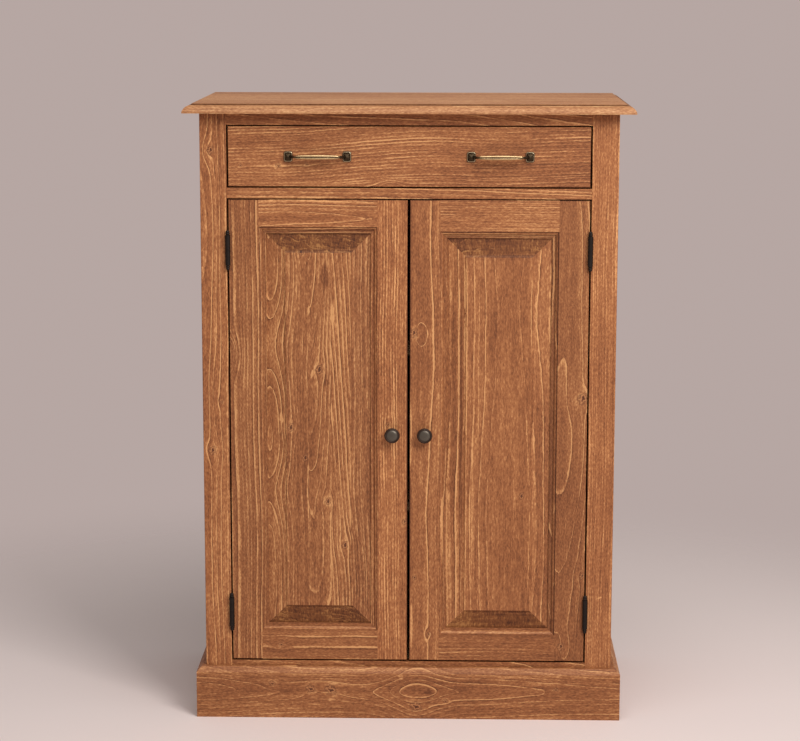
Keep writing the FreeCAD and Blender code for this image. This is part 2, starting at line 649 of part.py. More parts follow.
def rosette(x):
    """Small plate with cut corners and a chamfered rim under the foot of a pull."""
    half_width = ROSETTE_WIDTH / 2
    half_height = ROSETTE_HEIGHT / 2
    z = pull_height()
    corners = [(half_width - ROSETTE_CORNER, half_height), (half_width, half_height - ROSETTE_CORNER)]
    right = corners + [(u, -v) for u, v in reversed(corners)]
    steps = right + [(-u, v) for u, v in reversed(right)]
    plate = prism(steps, lambda u, v: Vector(x + u, Y_FACE, z + v), FORWARD * ROSETTE_THICKNESS)
    rim = [edge for edge in plate.Edges if lies(edge, y=Y_FACE - ROSETTE_THICKNESS)]
    plate = plate.makeChamfer(ROSETTE_CHAMFER, rim)
    return plate.cut(rod(Vector(x, Y_FACE, z), FORWARD, BOLT_RADIUS + BOLT_CLEARANCE, ROSETTE_THICKNESS))


def pull_foot(x):
    """Foot of a pull: a block that ends in a blunt pyramid, bored for its screw."""
    z = pull_height()
    base = Y_FACE - ROSETTE_THICKNESS
    shoulder = base - PULL_FOOT_REACH
    half_width = PULL_FOOT_WIDTH / 2
    half_height = PULL_FOOT_HEIGHT / 2
    stem = block((x - half_width, x + half_width), (base, shoulder), (z - half_height, z + half_height))
    rings = []
    for y, half_u, half_v in ((shoulder, half_width, half_height),
                              (shoulder - PULL_FOOT_POINT, PULL_FOOT_TIP, PULL_FOOT_TIP)):
        corners = [(half_u, half_v), (-half_u, half_v), (-half_u, -half_v), (half_u, -half_v)]
        ring = [Vector(x + u, y, z + v) for u, v in corners]
        rings.append(Part.makePolygon(ring + ring[:1]))
    return stem.fuse(Part.makeLoft(rings, True, True))


def pull_bow(side):
    """Round bow from foot to foot: two slanting necks and a straight bar, joined by bends."""
    x = pull_centre(side)
    z = pull_height()
    bar = Y_FACE - PULL_STANDOFF
    root = Y_FACE - ROSETTE_THICKNESS - PULL_FOOT_REACH / 2
    corners = [Vector(x - PULL_SPACING / 2, root, z), Vector(x - PULL_BAR_LENGTH / 2, bar, z),
               Vector(x + PULL_BAR_LENGTH / 2, bar, z), Vector(x + PULL_SPACING / 2, root, z)]
    edges = []
    here = corners[0]
    for before, corner, after in zip(corners, corners[1:], corners[2:]):
        inward = (before - corner).normalize()
        onward = (after - corner).normalize()
        half_angle = inward.getAngle(onward) / 2
        setback = PULL_BEND_RADIUS / math.tan(half_angle)
        bisector = (inward + onward).normalize()
        middle = corner + bisector * (PULL_BEND_RADIUS / math.sin(half_angle) - PULL_BEND_RADIUS)
        edges.append(Part.LineSegment(here, corner + inward * setback).toShape())
        edges.append(Part.Arc(corner + inward * setback, middle, corner + onward * setback).toShape())
        here = corner + onward * setback
    edges.append(Part.LineSegment(here, corners[-1]).toShape())
    start = (corners[1] - corners[0]).normalize()
    section = Part.Wire(Part.makeCircle(PULL_BAR_RADIUS, corners[0], start))
    return Part.Wire(edges).makePipeShell([section], True, False)


def pull(side):
    """Cast pull: the bow and its two feet in one piece."""
    ends = [pull_centre(side) + end * PULL_SPACING / 2 for end in (-1, 1)]
    body = pull_bow(side).fuse([pull_foot(x) for x in ends]).removeSplitter()
    bores = [rod(Vector(x, Y_FACE, pull_height()), FORWARD, BOLT_RADIUS + BOLT_THREAD_CLEARANCE,
                 ROSETTE_THICKNESS + PULL_BOLT_REACH + BOLT_END_PLAY) for x in ends]
    return body.cut(bores)


def pull_screw(x):
    """Machine screw from inside the drawer into a pull's foot."""
    reach = DRAWER_FRONT_THICKNESS + ROSETTE_THICKNESS + PULL_BOLT_REACH
    return headed(Vector(x, Y_DRAWER_INSIDE, pull_height()), FORWARD, BOLT_RADIUS, reach, BOLT_HEAD_RADIUS,
                  BOLT_HEAD_HEIGHT)


class Door:
    """One door. Its own frame runs from the hinge edge (u), the face (v) and the lower edge (w)."""

    def __init__(self, name):
        self.side = SIDES[name]
        rails = [DOOR_NARROW_RAIL_FACE, DOOR_WIDE_RAIL_FACE]
        self.top_face, self.bottom_face = rails if name == "left" else reversed(rails)
        self.bottom_edge = self.bottom_face + STICKING_WIDTH
        self.top_edge = DOOR_HEIGHT - self.top_face - STICKING_WIDTH

    def place(self, u, v, w):
        """Point of the door's own frame in the part's frame."""
        return Vector(self.side * (X_DOOR - u), Y_FACE + v, Z_DOOR_LOW + w)

    def along(self, u, v, w):
        """Direction of the door's own frame in the part's frame."""
        return Vector(-self.side * u, v, w)

    def member_section(self, width):
        """Section of a frame member as (distance from its outer edge, depth) steps."""
        round_start = (width - STICKING_WIDTH, STICKING_STEP)
        round_end = (width - STICKING_FILLET, STICKING_STEP + STICKING_ROUND)
        fillet = round_end[1] + STICKING_QUIRK
        return [(0, 0), (width - STICKING_WIDTH, 0), round_start, level_arc(round_start, round_end),
                (width - STICKING_FILLET, fillet), (width, fillet), (width, GROOVE_FRONT),
                (width - GROOVE_DEPTH, GROOVE_FRONT), (width - GROOVE_DEPTH, GROOVE_BACK),
                (width, GROOVE_BACK), (width, DOOR_THICKNESS), (0, DOOR_THICKNESS)]

    def plan(self, steps):
        """Everything behind an outline of the door's face."""
        return prism(steps, lambda u, w: self.place(u, 0, w), self.along(0, DOOR_THICKNESS, 0))

    def tenon(self, at_lock, at_top, play):
        """Tenon at one end of a rail or, with some play, its mortise in the stile."""
        face = self.top_face if at_top else self.bottom_face
        low, high = DOOR_TENON_SHOULDER - play, face - DOOR_TENON_SHOULDER + play
        near, far = DOOR_STILE_FACE, DOOR_STILE_FACE - DOOR_TENON_LENGTH - play
        if at_top:
            low, high = DOOR_HEIGHT - high, DOOR_HEIGHT - low
        if at_lock:
            near, far = DOOR_WIDTH - near, DOOR_WIDTH - far
        first = self.place(near, GROOVE_FRONT - play, low)
        last = self.place(far, GROOVE_BACK + play, high)
        return block((first.x, last.x), (first.y, last.y), (first.z, last.z))

    def stile(self, at_lock):
        """Upright member: moulded between the rails, where its inner edge ends in mitres."""
        def mirrored(u):
            return DOOR_WIDTH - u if at_lock else u

        bar = prism(self.member_section(DOOR_STILE), lambda u, v: self.place(mirrored(u), v, 0),
                    self.along(0, 0, DOOR_HEIGHT))
        plan = [(0, 0), (DOOR_STILE_FACE, 0), (DOOR_STILE_FACE, self.bottom_face),
                (DOOR_STILE, self.bottom_edge), (DOOR_STILE, self.top_edge),
                (DOOR_STILE_FACE, self.top_edge + STICKING_WIDTH), (DOOR_STILE_FACE, DOOR_HEIGHT),
                (0, DOOR_HEIGHT)]
        bar = bar.common(self.plan([(mirrored(u), w) for u, w in plan]))
        outer = self.place(mirrored(0), 0, 0).x
        bar = eased(bar, lambda edge: lies(edge, y=Y_FACE) and (
            lies(edge, x=outer) or lies(edge, z=Z_DOOR_LOW) or lies(edge, z=Z_DOOR_HIGH)))
        cuts = [self.tenon(at_lock, at_top, JOINT_CLEARANCE) for at_top in (False, True)]
        if at_lock:
            cuts.append(rod(self.knob_foot(), Vector(0, 1, 0), BOLT_RADIUS + BOLT_CLEARANCE, DOOR_THICKNESS))
        else:
            cuts += [hinge_dowel(self.side, height, "door", HINGE_DOWEL_CLEARANCE) for height in HINGE_HEIGHTS]
        return bar.cut(cuts)

    def rail(self, at_top):
        """Level member between the stiles' faces, moulded along its inner edge and mitred there."""
        face = self.top_face if at_top else self.bottom_face
        width = face + STICKING_WIDTH

        def flipped(w):
            return DOOR_HEIGHT - w if at_top else w

        bar = prism(self.member_section(width), lambda w, v: self.place(0, v, flipped(w)),
                    self.along(DOOR_WIDTH, 0, 0))
        far_face = DOOR_WIDTH - DOOR_STILE_FACE
        far_edge = DOOR_WIDTH - DOOR_STILE
        plan = [(DOOR_STILE_FACE, 0), (far_face, 0), (far_face, face), (far_edge, width), (DOOR_STILE, width),
                (DOOR_STILE_FACE, face)]
        bar = bar.common(self.plan([(u, flipped(w)) for u, w in plan]))
        outer = self.place(0, 0, flipped(0)).z
        bar = eased(bar, lambda edge: lies(edge, y=Y_FACE, z=outer))
        return bar.fuse([self.tenon(at_lock, at_top, 0) for at_lock in (False, True)])

    def panel_section(self, start, end):
        """Section of the raised panel between two edges of the frame, as (distance, depth) steps."""
        tongue_front = GROOVE_FRONT + PANEL_CLEARANCE
        tongue_back = GROOVE_BACK - PANEL_CLEARANCE
        bevel_top = tongue_front - PANEL_BEVEL_RISE
        cove_top = bevel_top - PANEL_COVE_RISE
        field = cove_top - PANEL_FIELD_STEP

        def half(edge, inward):
            bevel_end = (edge + inward * PANEL_BEVEL_WIDTH, bevel_top)
            cove_end = (bevel_end[0] + inward * PANEL_COVE_WIDTH, cove_top)
            return [(edge - inward * PANEL_TONGUE, tongue_back), (edge - inward * PANEL_TONGUE, tongue_front),
                    (edge, tongue_front), bevel_end, level_arc(bevel_end, cove_end), (cove_end[0], field)]

        first = half(start, 1)
        last = half(end, -1)
        cove_way, cove_end = last[4]
        return first + [last[5], cove_end, (cove_way, last[3]), last[2], last[1], last[0]]

    def panel(self):
        """Raised and fielded panel: the same section runs both ways, so its bevels meet in mitres."""
        left, right = DOOR_STILE, DOOR_WIDTH - DOOR_STILE
        across = prism(self.panel_section(left, right), lambda u, v: self.place(u, v, 0),
                       self.along(0, 0, DOOR_HEIGHT))
        upright = prism(self.panel_section(self.bottom_edge, self.top_edge),
                        lambda w, v: self.place(0, v, w), self.along(DOOR_WIDTH, 0, 0))
        return across.common(upright)

    def knob_foot(self):
        """Where the knob's axis meets the door's face."""
        return self.place(DOOR_WIDTH - DOOR_STILE_FACE / 2, 0, DOOR_HEIGHT / 2)

    def knob(self):
        """Turned knob: foot, hollow neck and a broad head with a rim around a low dome."""
        neck_end = KNOB_FOOT_HEIGHT + KNOB_NECK_HEIGHT
        head_end = neck_end + KNOB_HEAD_HEIGHT
        rim_inner = KNOB_RADIUS - KNOB_RIM_WIDTH
        belly = (KNOB_RADIUS, (neck_end + head_end) / 2)
        neck_way = (KNOB_NECK_RADIUS, (KNOB_FOOT_HEIGHT + neck_end) / 2)
        dome_foot = (rim_inner, head_end - KNOB_RIM_STEP)
        dome_top = (0, head_end - KNOB_RIM_STEP + KNOB_DOME_RISE)
        dome_way = level_arc(dome_top, dome_foot)[0]
        steps = [(0, 0), (KNOB_FOOT_RADIUS, 0), (KNOB_FOOT_RADIUS, KNOB_FOOT_HEIGHT),
                 (neck_way, (KNOB_FOOT_RADIUS, neck_end)), (belly, (rim_inner, head_end)), dome_foot,
                 (dome_way, dome_top)]
        bore = rod(self.knob_foot(), FORWARD, BOLT_RADIUS + BOLT_THREAD_CLEARANCE,
                   KNOB_BOLT_REACH + BOLT_END_PLAY)
        return turned(steps, self.knob_foot(), FORWARD).cut(bore)

    def knob_screw(self):
        """Machine screw through the lock stile into the knob."""
        head = self.knob_foot() + Vector(0, DOOR_THICKNESS, 0)
        return headed(head, FORWARD, BOLT_RADIUS, DOOR_THICKNESS + KNOB_BOLT_REACH, BOLT_HEAD_RADIUS,
                      BOLT_HEAD_HEIGHT)

    def strike_plate(self):
        """Steel plate on the back of the door, in front of its catch."""
        middle = self.side * CATCH_OFFSET
        return block((middle - STRIKE_WIDTH / 2, middle + STRIKE_WIDTH / 2),
                     (Y_DOOR_BACK, Y_DOOR_BACK + STRIKE_THICKNESS), (Z_DOOR_HIGH - STRIKE_HEIGHT, Z_DOOR_HIGH))


def magnetic_catch(side):
    """Catch under the middle rail, just behind a closed door's strike plate."""
    middle = side * CATCH_OFFSET
    front = Y_DOOR_BACK + STRIKE_THICKNESS + CATCH_CLEARANCE
    body = block((middle - CATCH_WIDTH / 2, middle + CATCH_WIDTH / 2), (front, front + CATCH_DEPTH),
                 (Z_DOORS_TOP - CATCH_HEIGHT, Z_DOORS_TOP))
    return eased(body, lambda edge: lies(edge, z=Z_DOORS_TOP - CATCH_HEIGHT))


def hinge_axis(side, height):
    """Middle of a hinge, between its two halves."""
    return Vector(side * X_HINGE, Y_HINGE, height)


def hinge_dowel(side, height, half, play):
    """Slanting dowel of a hinge half or, with some play, its hole in the wood."""
    to_frame = side if half == "frame" else -side
    thickness = FRAME_THICKNESS if half == "frame" else DOOR_THICKNESS
    sign = -1 if half == "frame" else 1
    angle = math.radians(HINGE_DOWEL_SLANT)
    slant = Vector(to_frame * math.sin(angle), math.cos(angle), 0)
    start = (HINGE_RADIUS + HINGE_PIN_RADIUS) / 2
    length = (HINGE_PROUD + thickness - HINGE_DOWEL_COVER) / slant.y - start
    root = hinge_axis(side, height + sign * HINGE_BARREL_LENGTH / 2) + slant * start
    return rod(root, slant, HINGE_DOWEL_RADIUS + play, length + play)


def hinge_half(side, height, half):
    """Barrel with a finial, bored for the hinge pin, and its dowel."""
    sign = -1 if half == "frame" else 1
    axis = UP * sign
    base = hinge_axis(side, height)
    neck = HINGE_BARREL_LENGTH + HINGE_NECK_LENGTH
    bulb = neck + HINGE_BULB_LENGTH
    tip = bulb + HINGE_TIP_LENGTH
    fit = HINGE_PRESS_FIT if half == "frame" else HINGE_RUNNING_FIT
    bore = HINGE_PIN_RADIUS + fit
    bulb_way = (HINGE_BULB_RADIUS, (neck + bulb) / 2)
    tip_way = level_arc((0, tip), (HINGE_NECK_RADIUS, bulb))[0]
    gap = HINGE_CLEARANCE / 2
    bore_end = HINGE_PIN_DEPTH + gap
    steps = [(bore, gap), (HINGE_RADIUS, gap), (HINGE_RADIUS, HINGE_BARREL_LENGTH),
             (HINGE_NECK_RADIUS, HINGE_BARREL_LENGTH), (HINGE_NECK_RADIUS, neck),
             (bulb_way, (HINGE_NECK_RADIUS, bulb)), (tip_way, (0, tip)), (0, bore_end), (bore, bore_end)]
    return turned(steps, base, axis).fuse(hinge_dowel(side, height, half, 0))


def hinge_pin(side, height):
    """Steel pin that both barrels turn on."""
    return rod(hinge_axis(side, height) - UP * HINGE_PIN_DEPTH, UP, HINGE_PIN_RADIUS, 2 * HINGE_PIN_DEPTH)


os.makedirs("parts", exist_ok=True)

# Carcass, face frame and plinth
save("top_board", top_board())
front_stretcher, rear_stretcher = stretchers()
save("top_stretcher_front", front_stretcher)
save("top_stretcher_rear", rear_stretcher)
save("bottom_board", bottom_board())
save("plinth_front", plinth_front())
for name, side in SIDES.items():
    save("side_panel_" + name, side_panel(side))
    save("face_stile_" + name, face_stile(side))
    save("plinth_side_" + name, plinth_side(side))
    save("drawer_runner_" + name, drawer_runner(side))
    save("drawer_kicker_" + name, drawer_kicker(side))
for name in rail_levels():
    save("face_rail_" + name, face_rail(name))
for index in range(BACK_BOARD_COUNT):
    save("back_board_%d" % (index + 1), back_board(index))
for name, level in zip(("lower", "upper"), shelf_levels()):
    save("shelf_" + name, shelf(level))
save("shelf_pins", *[shelf_pin(side, y, level) for side in SIDES.values() for y in SHELF_PIN_ROWS
                     for level in shelf_levels()])
save("drawer_stops", *[drawer_stop(side) for side in SIDES.values()])
save("magnetic_catches", *[magnetic_catch(side) for side in SIDES.values()])
save("top_screws", *[headed(foot, UP, TOP_SCREW_RADIUS, STRETCHER_THICKNESS + TOP_SCREW_BITE,
                            TOP_SCREW_HEAD_RADIUS, TOP_SCREW_HEAD_HEIGHT) for foot in top_screw_places()])
save("back_screws", *[headed(place, FORWARD, BACK_SCREW_RADIUS,
                             BACK_THICKNESS - BACK_SCREW_HEAD_HEIGHT + BACK_SCREW_BITE,
                             BACK_SCREW_HEAD_RADIUS, BACK_SCREW_HEAD_HEIGHT) for place in back_screw_places()])

# Drawer
save("drawer_front", drawer_front())
save("drawer_back", drawer_back())
save("drawer_bottom", drawer_bottom())
for name, side in SIDES.items():
    save("drawer_side_" + name, drawer_side(side))
    save("pull_" + name, pull(side))
save("pull_rosettes", *[rosette(x) for x in pull_screw_columns()])
save("pull_screws", *[pull_screw(x) for x in pull_screw_columns()])

# Doors and hinges
for name, side in SIDES.items():
    door = Door(name)
    save(name + "_door_hinge_stile", door.stile(at_lock=False))
    save(name + "_door_lock_stile", door.stile(at_lock=True))
    save(name + "_door_top_rail", door.rail(at_top=True))
    save(name + "_door_bottom_rail", door.rail(at_top=False))
    save(name + "_door_panel", door.panel())
    save(name + "_door_knob", door.knob())
    save(name + "_door_knob_screw", door.knob_screw())
    save(name + "_door_strike_plate", door.strike_plate())
    save(name + "_door_hinges", *[hinge_half(side, height, "door") for height in HINGE_HEIGHTS])
hinges = [(side, height) for side in SIDES.values() for height in HINGE_HEIGHTS]
save("frame_hinges", *[hinge_half(side, height, "frame") for side, height in hinges])
save("hinge_pins", *[hinge_pin(side, height) for side, height in hinges])
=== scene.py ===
# %% [markdown]
# # A stained softwood highboard
#
# The object is a tall cupboard: a moulded top, one wide drawer with two bow pulls, a pair of doors with
# raised panels, and a chamfered plinth. Its boards come ready-made from the construction model, so this
# lesson is about looks: where the camera stands, how the light falls, how one wood finish is written so
# that every board gets its own figure, and how the small metal fittings are shaped.

# %% Load the frame
import math
import random

import bmesh
import bpy
from mathutils import Matrix, Vector


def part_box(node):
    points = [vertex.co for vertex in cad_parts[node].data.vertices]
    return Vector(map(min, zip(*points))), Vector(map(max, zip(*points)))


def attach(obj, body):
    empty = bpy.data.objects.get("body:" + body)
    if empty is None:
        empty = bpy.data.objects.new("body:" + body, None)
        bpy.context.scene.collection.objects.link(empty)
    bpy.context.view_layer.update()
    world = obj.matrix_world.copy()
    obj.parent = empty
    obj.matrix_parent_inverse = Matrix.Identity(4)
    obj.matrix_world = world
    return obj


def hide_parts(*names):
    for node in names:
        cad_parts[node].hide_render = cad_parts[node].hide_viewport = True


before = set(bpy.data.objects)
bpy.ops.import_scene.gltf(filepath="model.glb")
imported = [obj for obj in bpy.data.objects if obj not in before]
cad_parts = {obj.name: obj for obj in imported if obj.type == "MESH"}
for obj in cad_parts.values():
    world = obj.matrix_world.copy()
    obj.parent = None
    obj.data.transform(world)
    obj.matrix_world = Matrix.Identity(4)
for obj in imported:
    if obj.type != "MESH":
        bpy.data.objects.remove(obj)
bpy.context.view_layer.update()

# %% [markdown]
# ## Camera
#
# The highboard was photographed from a little right of its middle and from above its top, with a long lens.
# A camera could be placed by eye. It is placed by sizes here: the straight edges of the real front and top
# fix where the lens stood, how far it looked down and how long it was, so the picture's frame needs no shift.

# %% Place the camera
CAMERA_PLACE = (0.0905, -4.5289, 1.4479)
CAMERA_DOWN = 0.17168
CAMERA_LEFT = 0.02494
CAMERA_ROLL = 0.0013
LENS_MM = 102.3
SENSOR_MM = 36.0

bpy.ops.object.select_all(action="DESELECT")
bpy.ops.object.camera_add(location=CAMERA_PLACE,
                          rotation=(math.pi / 2 - CAMERA_DOWN, -CAMERA_ROLL, CAMERA_LEFT))
camera = bpy.context.object
camera.name = "camera"
camera.data.lens = LENS_MM
camera.data.sensor_width = SENSOR_MM
camera.data.dof.use_dof = False
bpy.context.scene.camera = camera
bpy.context.scene.view_settings.view_transform = "Standard"
print("camera", [round(v, 3) for v in camera.location], "lens", camera.data.lens)

# %% [markdown]
# ## Light and floor
#
# Furniture is photographed under a large soft lamp beside the camera and a bright ceiling, with pale
# surroundings that fill the shadows. A ring of small lamps could do it too, but would leave several hard
# shadows under the top. Two wide area lamps and an even pale world give one soft shadow below the top's
# overhang, and the ceiling light brightens every slope that looks up. The floor is a pale disc that fades
# into the backdrop's colour, so no edge of it is seen from any side.

# %% A small kit for writing node trees
def feed(tree, socket, value):
    """Links a socket to another one, or sets its value"""
    if isinstance(value, bpy.types.NodeSocket):
        tree.links.new(value, socket)
    else:
        socket.default_value = value


def step(tree, kind, feeds=(), **options):
    """Adds one shader node, sets its options and feeds its inputs by name or number"""
    made = tree.nodes.new("ShaderNode" + kind)
    for option, value in options.items():
        setattr(made, option, value)
    for key, value in dict(feeds).items():
        feed(tree, made.inputs[key], value)
    return made


def calc(tree, operation, *values, clamp=False):
    """One sum on numbers"""
    return step(tree, "Math", enumerate(values), operation=operation, use_clamp=clamp).outputs[0]


def vector(tree, operation, *values):
    """One sum on vectors, which gives a vector, or a number for a length or a dot product"""
    made = step(tree, "VectorMath", enumerate(values), operation=operation)
    return made.outputs["Value" if operation in ("LENGTH", "DOT_PRODUCT") else "Vector"]


def split(tree, place):
    """The X, Y and Z of a place"""
    return step(tree, "SeparateXYZ", {0: place}).outputs


def between(tree, value, start, end, low=0.0, high=1.0, soft=False):
    """How far a value has gone from start to end, told from low to high, eased at both ends if soft"""
    feeds = {"Value": value, "From Min": start, "From Max": end, "To Min": low, "To Max": high}
    return step(tree, "MapRange", feeds, interpolation_type="SMOOTHSTEP" if soft else "LINEAR").outputs[0]


def noise(tree, place, scale, detail):
    """Cloudy noise from 0 to 1"""
    return step(tree, "TexNoise", {"Vector": place, "Scale": scale, "Detail": detail}).outputs[0]


def mix(tree, share, first, second, **options):
    """One colour turning into another"""
    return step(tree, "MixRGB", {0: share, 1: first, 2: second}, **options).outputs[0]


def fresh(name):
    """A new material with an empty tree and its output"""
    material = bpy.data.materials.new(name)
    material.use_nodes = True
    material.node_tree.nodes.clear()
    return material, material.node_tree, material.node_tree.nodes.new("ShaderNodeOutputMaterial")


def dress(material, *pieces):
    """Makes a material the only one of some pieces"""
    for piece in pieces:
        piece.data.materials.clear()
        piece.data.materials.append(material)


print("node kit ready")

# %% Light the room
BACKDROP = (0.47, 0.385, 0.365, 1.0)
FILL = (0.98, 0.99, 1.0, 1.0)
FILL_STRENGTH = 0.34
# place, aim, width and power
SOFTBOXES = {"key": ((2.1, -3.3, 3.2), (0.0, -0.1, 0.65), 1.7, 126.0),
             "overhead": ((0.3, -1.5, 3.3), (0.0, -0.5, 0.0), 2.4, 52.0)}

world = bpy.data.worlds.new("studio")
bpy.context.scene.world = world
world.use_nodes = True
sky = world.node_tree
sky.nodes.clear()
rays = step(sky, "LightPath")
seen = calc(sky, "MAXIMUM", rays.outputs["Is Camera Ray"], rays.outputs["Is Transmission Ray"])
seen = calc(sky, "MAXIMUM", seen, rays.outputs["Is Glossy Ray"])
fill = step(sky, "Background", {"Color": FILL, "Strength": FILL_STRENGTH})
backdrop = step(sky, "Background", {"Color": BACKDROP, "Strength": 1.0})
mixed = step(sky, "MixShader", {0: seen, 1: fill.outputs[0], 2: backdrop.outputs[0]})
step(sky, "OutputWorld", {"Surface": mixed.outputs[0]})

for name, (place, aim, width, watts) in SOFTBOXES.items():
    turn = (Vector(aim) - Vector(place)).to_track_quat("-Z", "Y").to_euler()
    bpy.ops.object.light_add(type="AREA", location=place, rotation=turn)
    lamp = bpy.context.object
    lamp.name = name
    lamp.data.shape = "SQUARE"
    lamp.data.size = width
    lamp.data.energy = watts
    print(name, "softbox", width, "m wide,", watts, "W")

# %% Lay the floor
FLOOR_RADIUS = 9.0
FLOOR_SIDES = 96
FLOOR_CLEAR = 0.75
FLOOR_GONE = 1.9
FLOOR_COLOUR = (0.75, 0.63, 0.59, 1.0)
FLOOR_MOTTLE = (0.78, 0.66, 0.62, 1.0)

bpy.ops.mesh.primitive_circle_add(vertices=FLOOR_SIDES, radius=FLOOR_RADIUS, fill_type="NGON",
                                  location=(0, 0, 0))
floor = bpy.context.object
floor.name = "floor"
material, tree, out = fresh("pale floor")
place = step(tree, "TexCoord").outputs["Object"]
tone = mix(tree, noise(tree, place, 1.3, 3.0), FLOOR_COLOUR, FLOOR_MOTTLE)
plain = step(tree, "BsdfPrincipled", {"Base Color": tone, "Roughness": 0.7, "Specular IOR Level": 0.2})
fade = between(tree, vector(tree, "LENGTH", place), FLOOR_CLEAR, FLOOR_GONE, soft=True)
fade = calc(tree, "MULTIPLY", fade, step(tree, "LightPath").outputs["Is Camera Ray"])
clear = step(tree, "BsdfTransparent")
shown = step(tree, "MixShader", {0: fade, 1: plain.outputs[0], 2: clear.outputs[0]})
feed(tree, out.inputs["Surface"], shown.outputs[0])
dress(material, floor)
print("floor clear to", FLOOR_CLEAR, "m")

# %% [markdown]
# ## The wood: swells, knots and strokes
#
# A board shows the tree's yearly rings cut lengthwise. Where the trunk swelled, the rings close into long
# loops or tongues. Where a branch left it, they part around a knot. And here and there a shallow stroke of
# hard wood lies open. All three could be painted as spots on top of a stripe pattern, but then the grain
# would run straight through them. Swells and knots only move the rings here, and a knot also keeps the
# distance to its eye, so that the eye can be coloured later. Strokes are kept apart, as an amount of pale or
# dark, and a few strokes on the front are not wood but a painted highlight or painted shade.

# %% Groups that disturb the grain
def shader_group(name, inputs, outputs):
    """A new node group, the sockets it is given and the sockets it gives"""
    group = bpy.data.node_groups.new(name, "ShaderNodeTree")
    for way, sockets in (("INPUT", inputs), ("OUTPUT", outputs)):
        for socket, kind in sockets.items():
            group.interface.new_socket(socket, in_out=way, socket_type="NodeSocket" + kind)
    return group, group.nodes.new("NodeGroupInput").outputs, group.nodes.new("NodeGroupOutput").inputs


def away_from(group, given, scale_by):
    """Where a point of the board lies from the middle of a disturbance, in its own measure"""
    return vector(group, "DIVIDE", vector(group, "SUBTRACT", given["Board"], given["Place"]), scale_by)


def bell(group, away):
    """1 in the middle, falling off softly to 0"""
    return calc(group, "EXPONENT", calc(group, "MULTIPLY", vector(group, "DOT_PRODUCT", away, away), -1.0))


swell, given, gives = shader_group(
    "swell", {"Board": "Vector", "Place": "Vector", "Reach": "Vector", "Lift": "Float", "Bend": "Float"},
    {"Bend": "Float"})
lifted = calc(swell, "MULTIPLY", bell(swell, away_from(swell, given, given["Reach"])), given["Lift"])
feed(swell, gives["Bend"], calc(swell, "ADD", given["Bend"], lifted))

KNOT_REACH = (0.3, 0.55, 0.0)
EYE_SHAPE = (0.75, 1.0, 0.0)
EYE_UNEVEN = 1.7
knot, given, gives = shader_group(
    "knot", {"Board": "Vector", "Place": "Vector", "Size": "Float", "Part": "Float", "Bend": "Float",
             "Eye": "Float"}, {"Bend": "Float", "Eye": "Float"})
size = step(knot, "CombineXYZ", {axis: given["Size"] for axis in range(3)}).outputs[0]
scaled = away_from(knot, given, size)
fall = bell(knot, vector(knot, "MULTIPLY", scaled, KNOT_REACH))
aside = calc(knot, "MULTIPLY", split(knot, scaled)["Y"], given["Size"])
parted = calc(knot, "MULTIPLY", calc(knot, "MULTIPLY", aside, given["Part"]), fall)
feed(knot, gives["Bend"], calc(knot, "SUBTRACT", given["Bend"], parted))
uneven = calc(knot, "SUBTRACT", noise(knot, scaled, 1.5, 3.0), 0.5)
distance = vector(knot, "LENGTH", vector(knot, "MULTIPLY", scaled, EYE_SHAPE))
distance = calc(knot, "MULTIPLY_ADD", uneven, EYE_UNEVEN, distance)
feed(knot, gives["Eye"], calc(knot, "MINIMUM", given["Eye"], distance))

STROKE_SHAPE = (1.0, 1.0, 0.0)
STROKE_EDGE = (1.0, 0.55)
stroke, given, gives = shader_group(
    "stroke", {"Board": "Vector", "Place": "Vector", "Reach": "Vector", "Turn": "Float", "Tone": "Float",
               "Stroke": "Float"}, {"Stroke": "Float"})
offset = vector(stroke, "SUBTRACT", given["Board"], given["Place"])
turned = step(stroke, "VectorRotate", {"Vector": offset, "Angle": given["Turn"]}, rotation_type="Z_AXIS")
scaled = vector(stroke, "DIVIDE", turned.outputs[0], given["Reach"])
uneven = calc(stroke, "SUBTRACT", noise(stroke, scaled, 1.4, 3.0), 0.5)
distance = vector(stroke, "LENGTH", vector(stroke, "MULTIPLY", scaled, STROKE_SHAPE))
inside = between(stroke, calc(stroke, "ADD", distance, uneven), *STROKE_EDGE, soft=True)
feed(stroke, gives["Stroke"], calc(stroke, "MULTIPLY_ADD", inside, given["Tone"], given["Stroke"]))
print("swell, knot and stroke:", [len(group.nodes) for group in (swell, knot, stroke)], "nodes")

# %% [markdown]
# ## The wood: rings, fibres and stain
#
# Each yearly ring is soft early wood that ends in a narrow band of hard late wood. Stain soaks into the soft
# part and turns it brown, darkest just past the last hard band, and the hard late wood stays pale and stands
# a little proud after brushing. Stripes from a wave texture could imitate that, but they look the same on
# every face. Here the ring is the true distance from the heart of the tree, so arches on the face, straight
# lines on the edge and curved rings on the end all come from one formula.

# %% Softwood group: distance from the heart
wood, given, gives = shader_group(
    "stained softwood",
    {"Board": "Vector", "Stave": "Vector", "Bold": "Float", "Face": "Float", "Ring": "Float", "Seed": "Float",
     "Bend": "Float", "Eye": "Float", "Stroke": "Float", "End": "Float", "Hollow": "Float", "Fleck": "Float",
     "Dark": "Color", "Ground": "Color", "Light": "Color", "Pale": "Color"},
    {"Colour": "Color", "Roughness": "Float", "Normal": "Vector"})


def grain_noise(along, across, shift, detail=2.0):
    """Noise on the board about zero, with its own scale along the grain and across it"""
    spread = vector(wood, "MULTIPLY", given["Board"], (along, across, across))
    seed = calc(wood, "ADD", given["Seed"], shift)
    made = step(wood, "TexNoise", {"Vector": spread, "W": seed, "Scale": 1.0, "Detail": detail},
                noise_dimensions="4D")
    return calc(wood, "SUBTRACT", made.outputs[0], 0.5)


def weighed(*parts):
    """Sum of sockets, each times its weight"""
    total = 0.0
    for socket, weight in parts:
        total = calc(wood, "MULTIPLY_ADD", socket, weight, total)
    return total


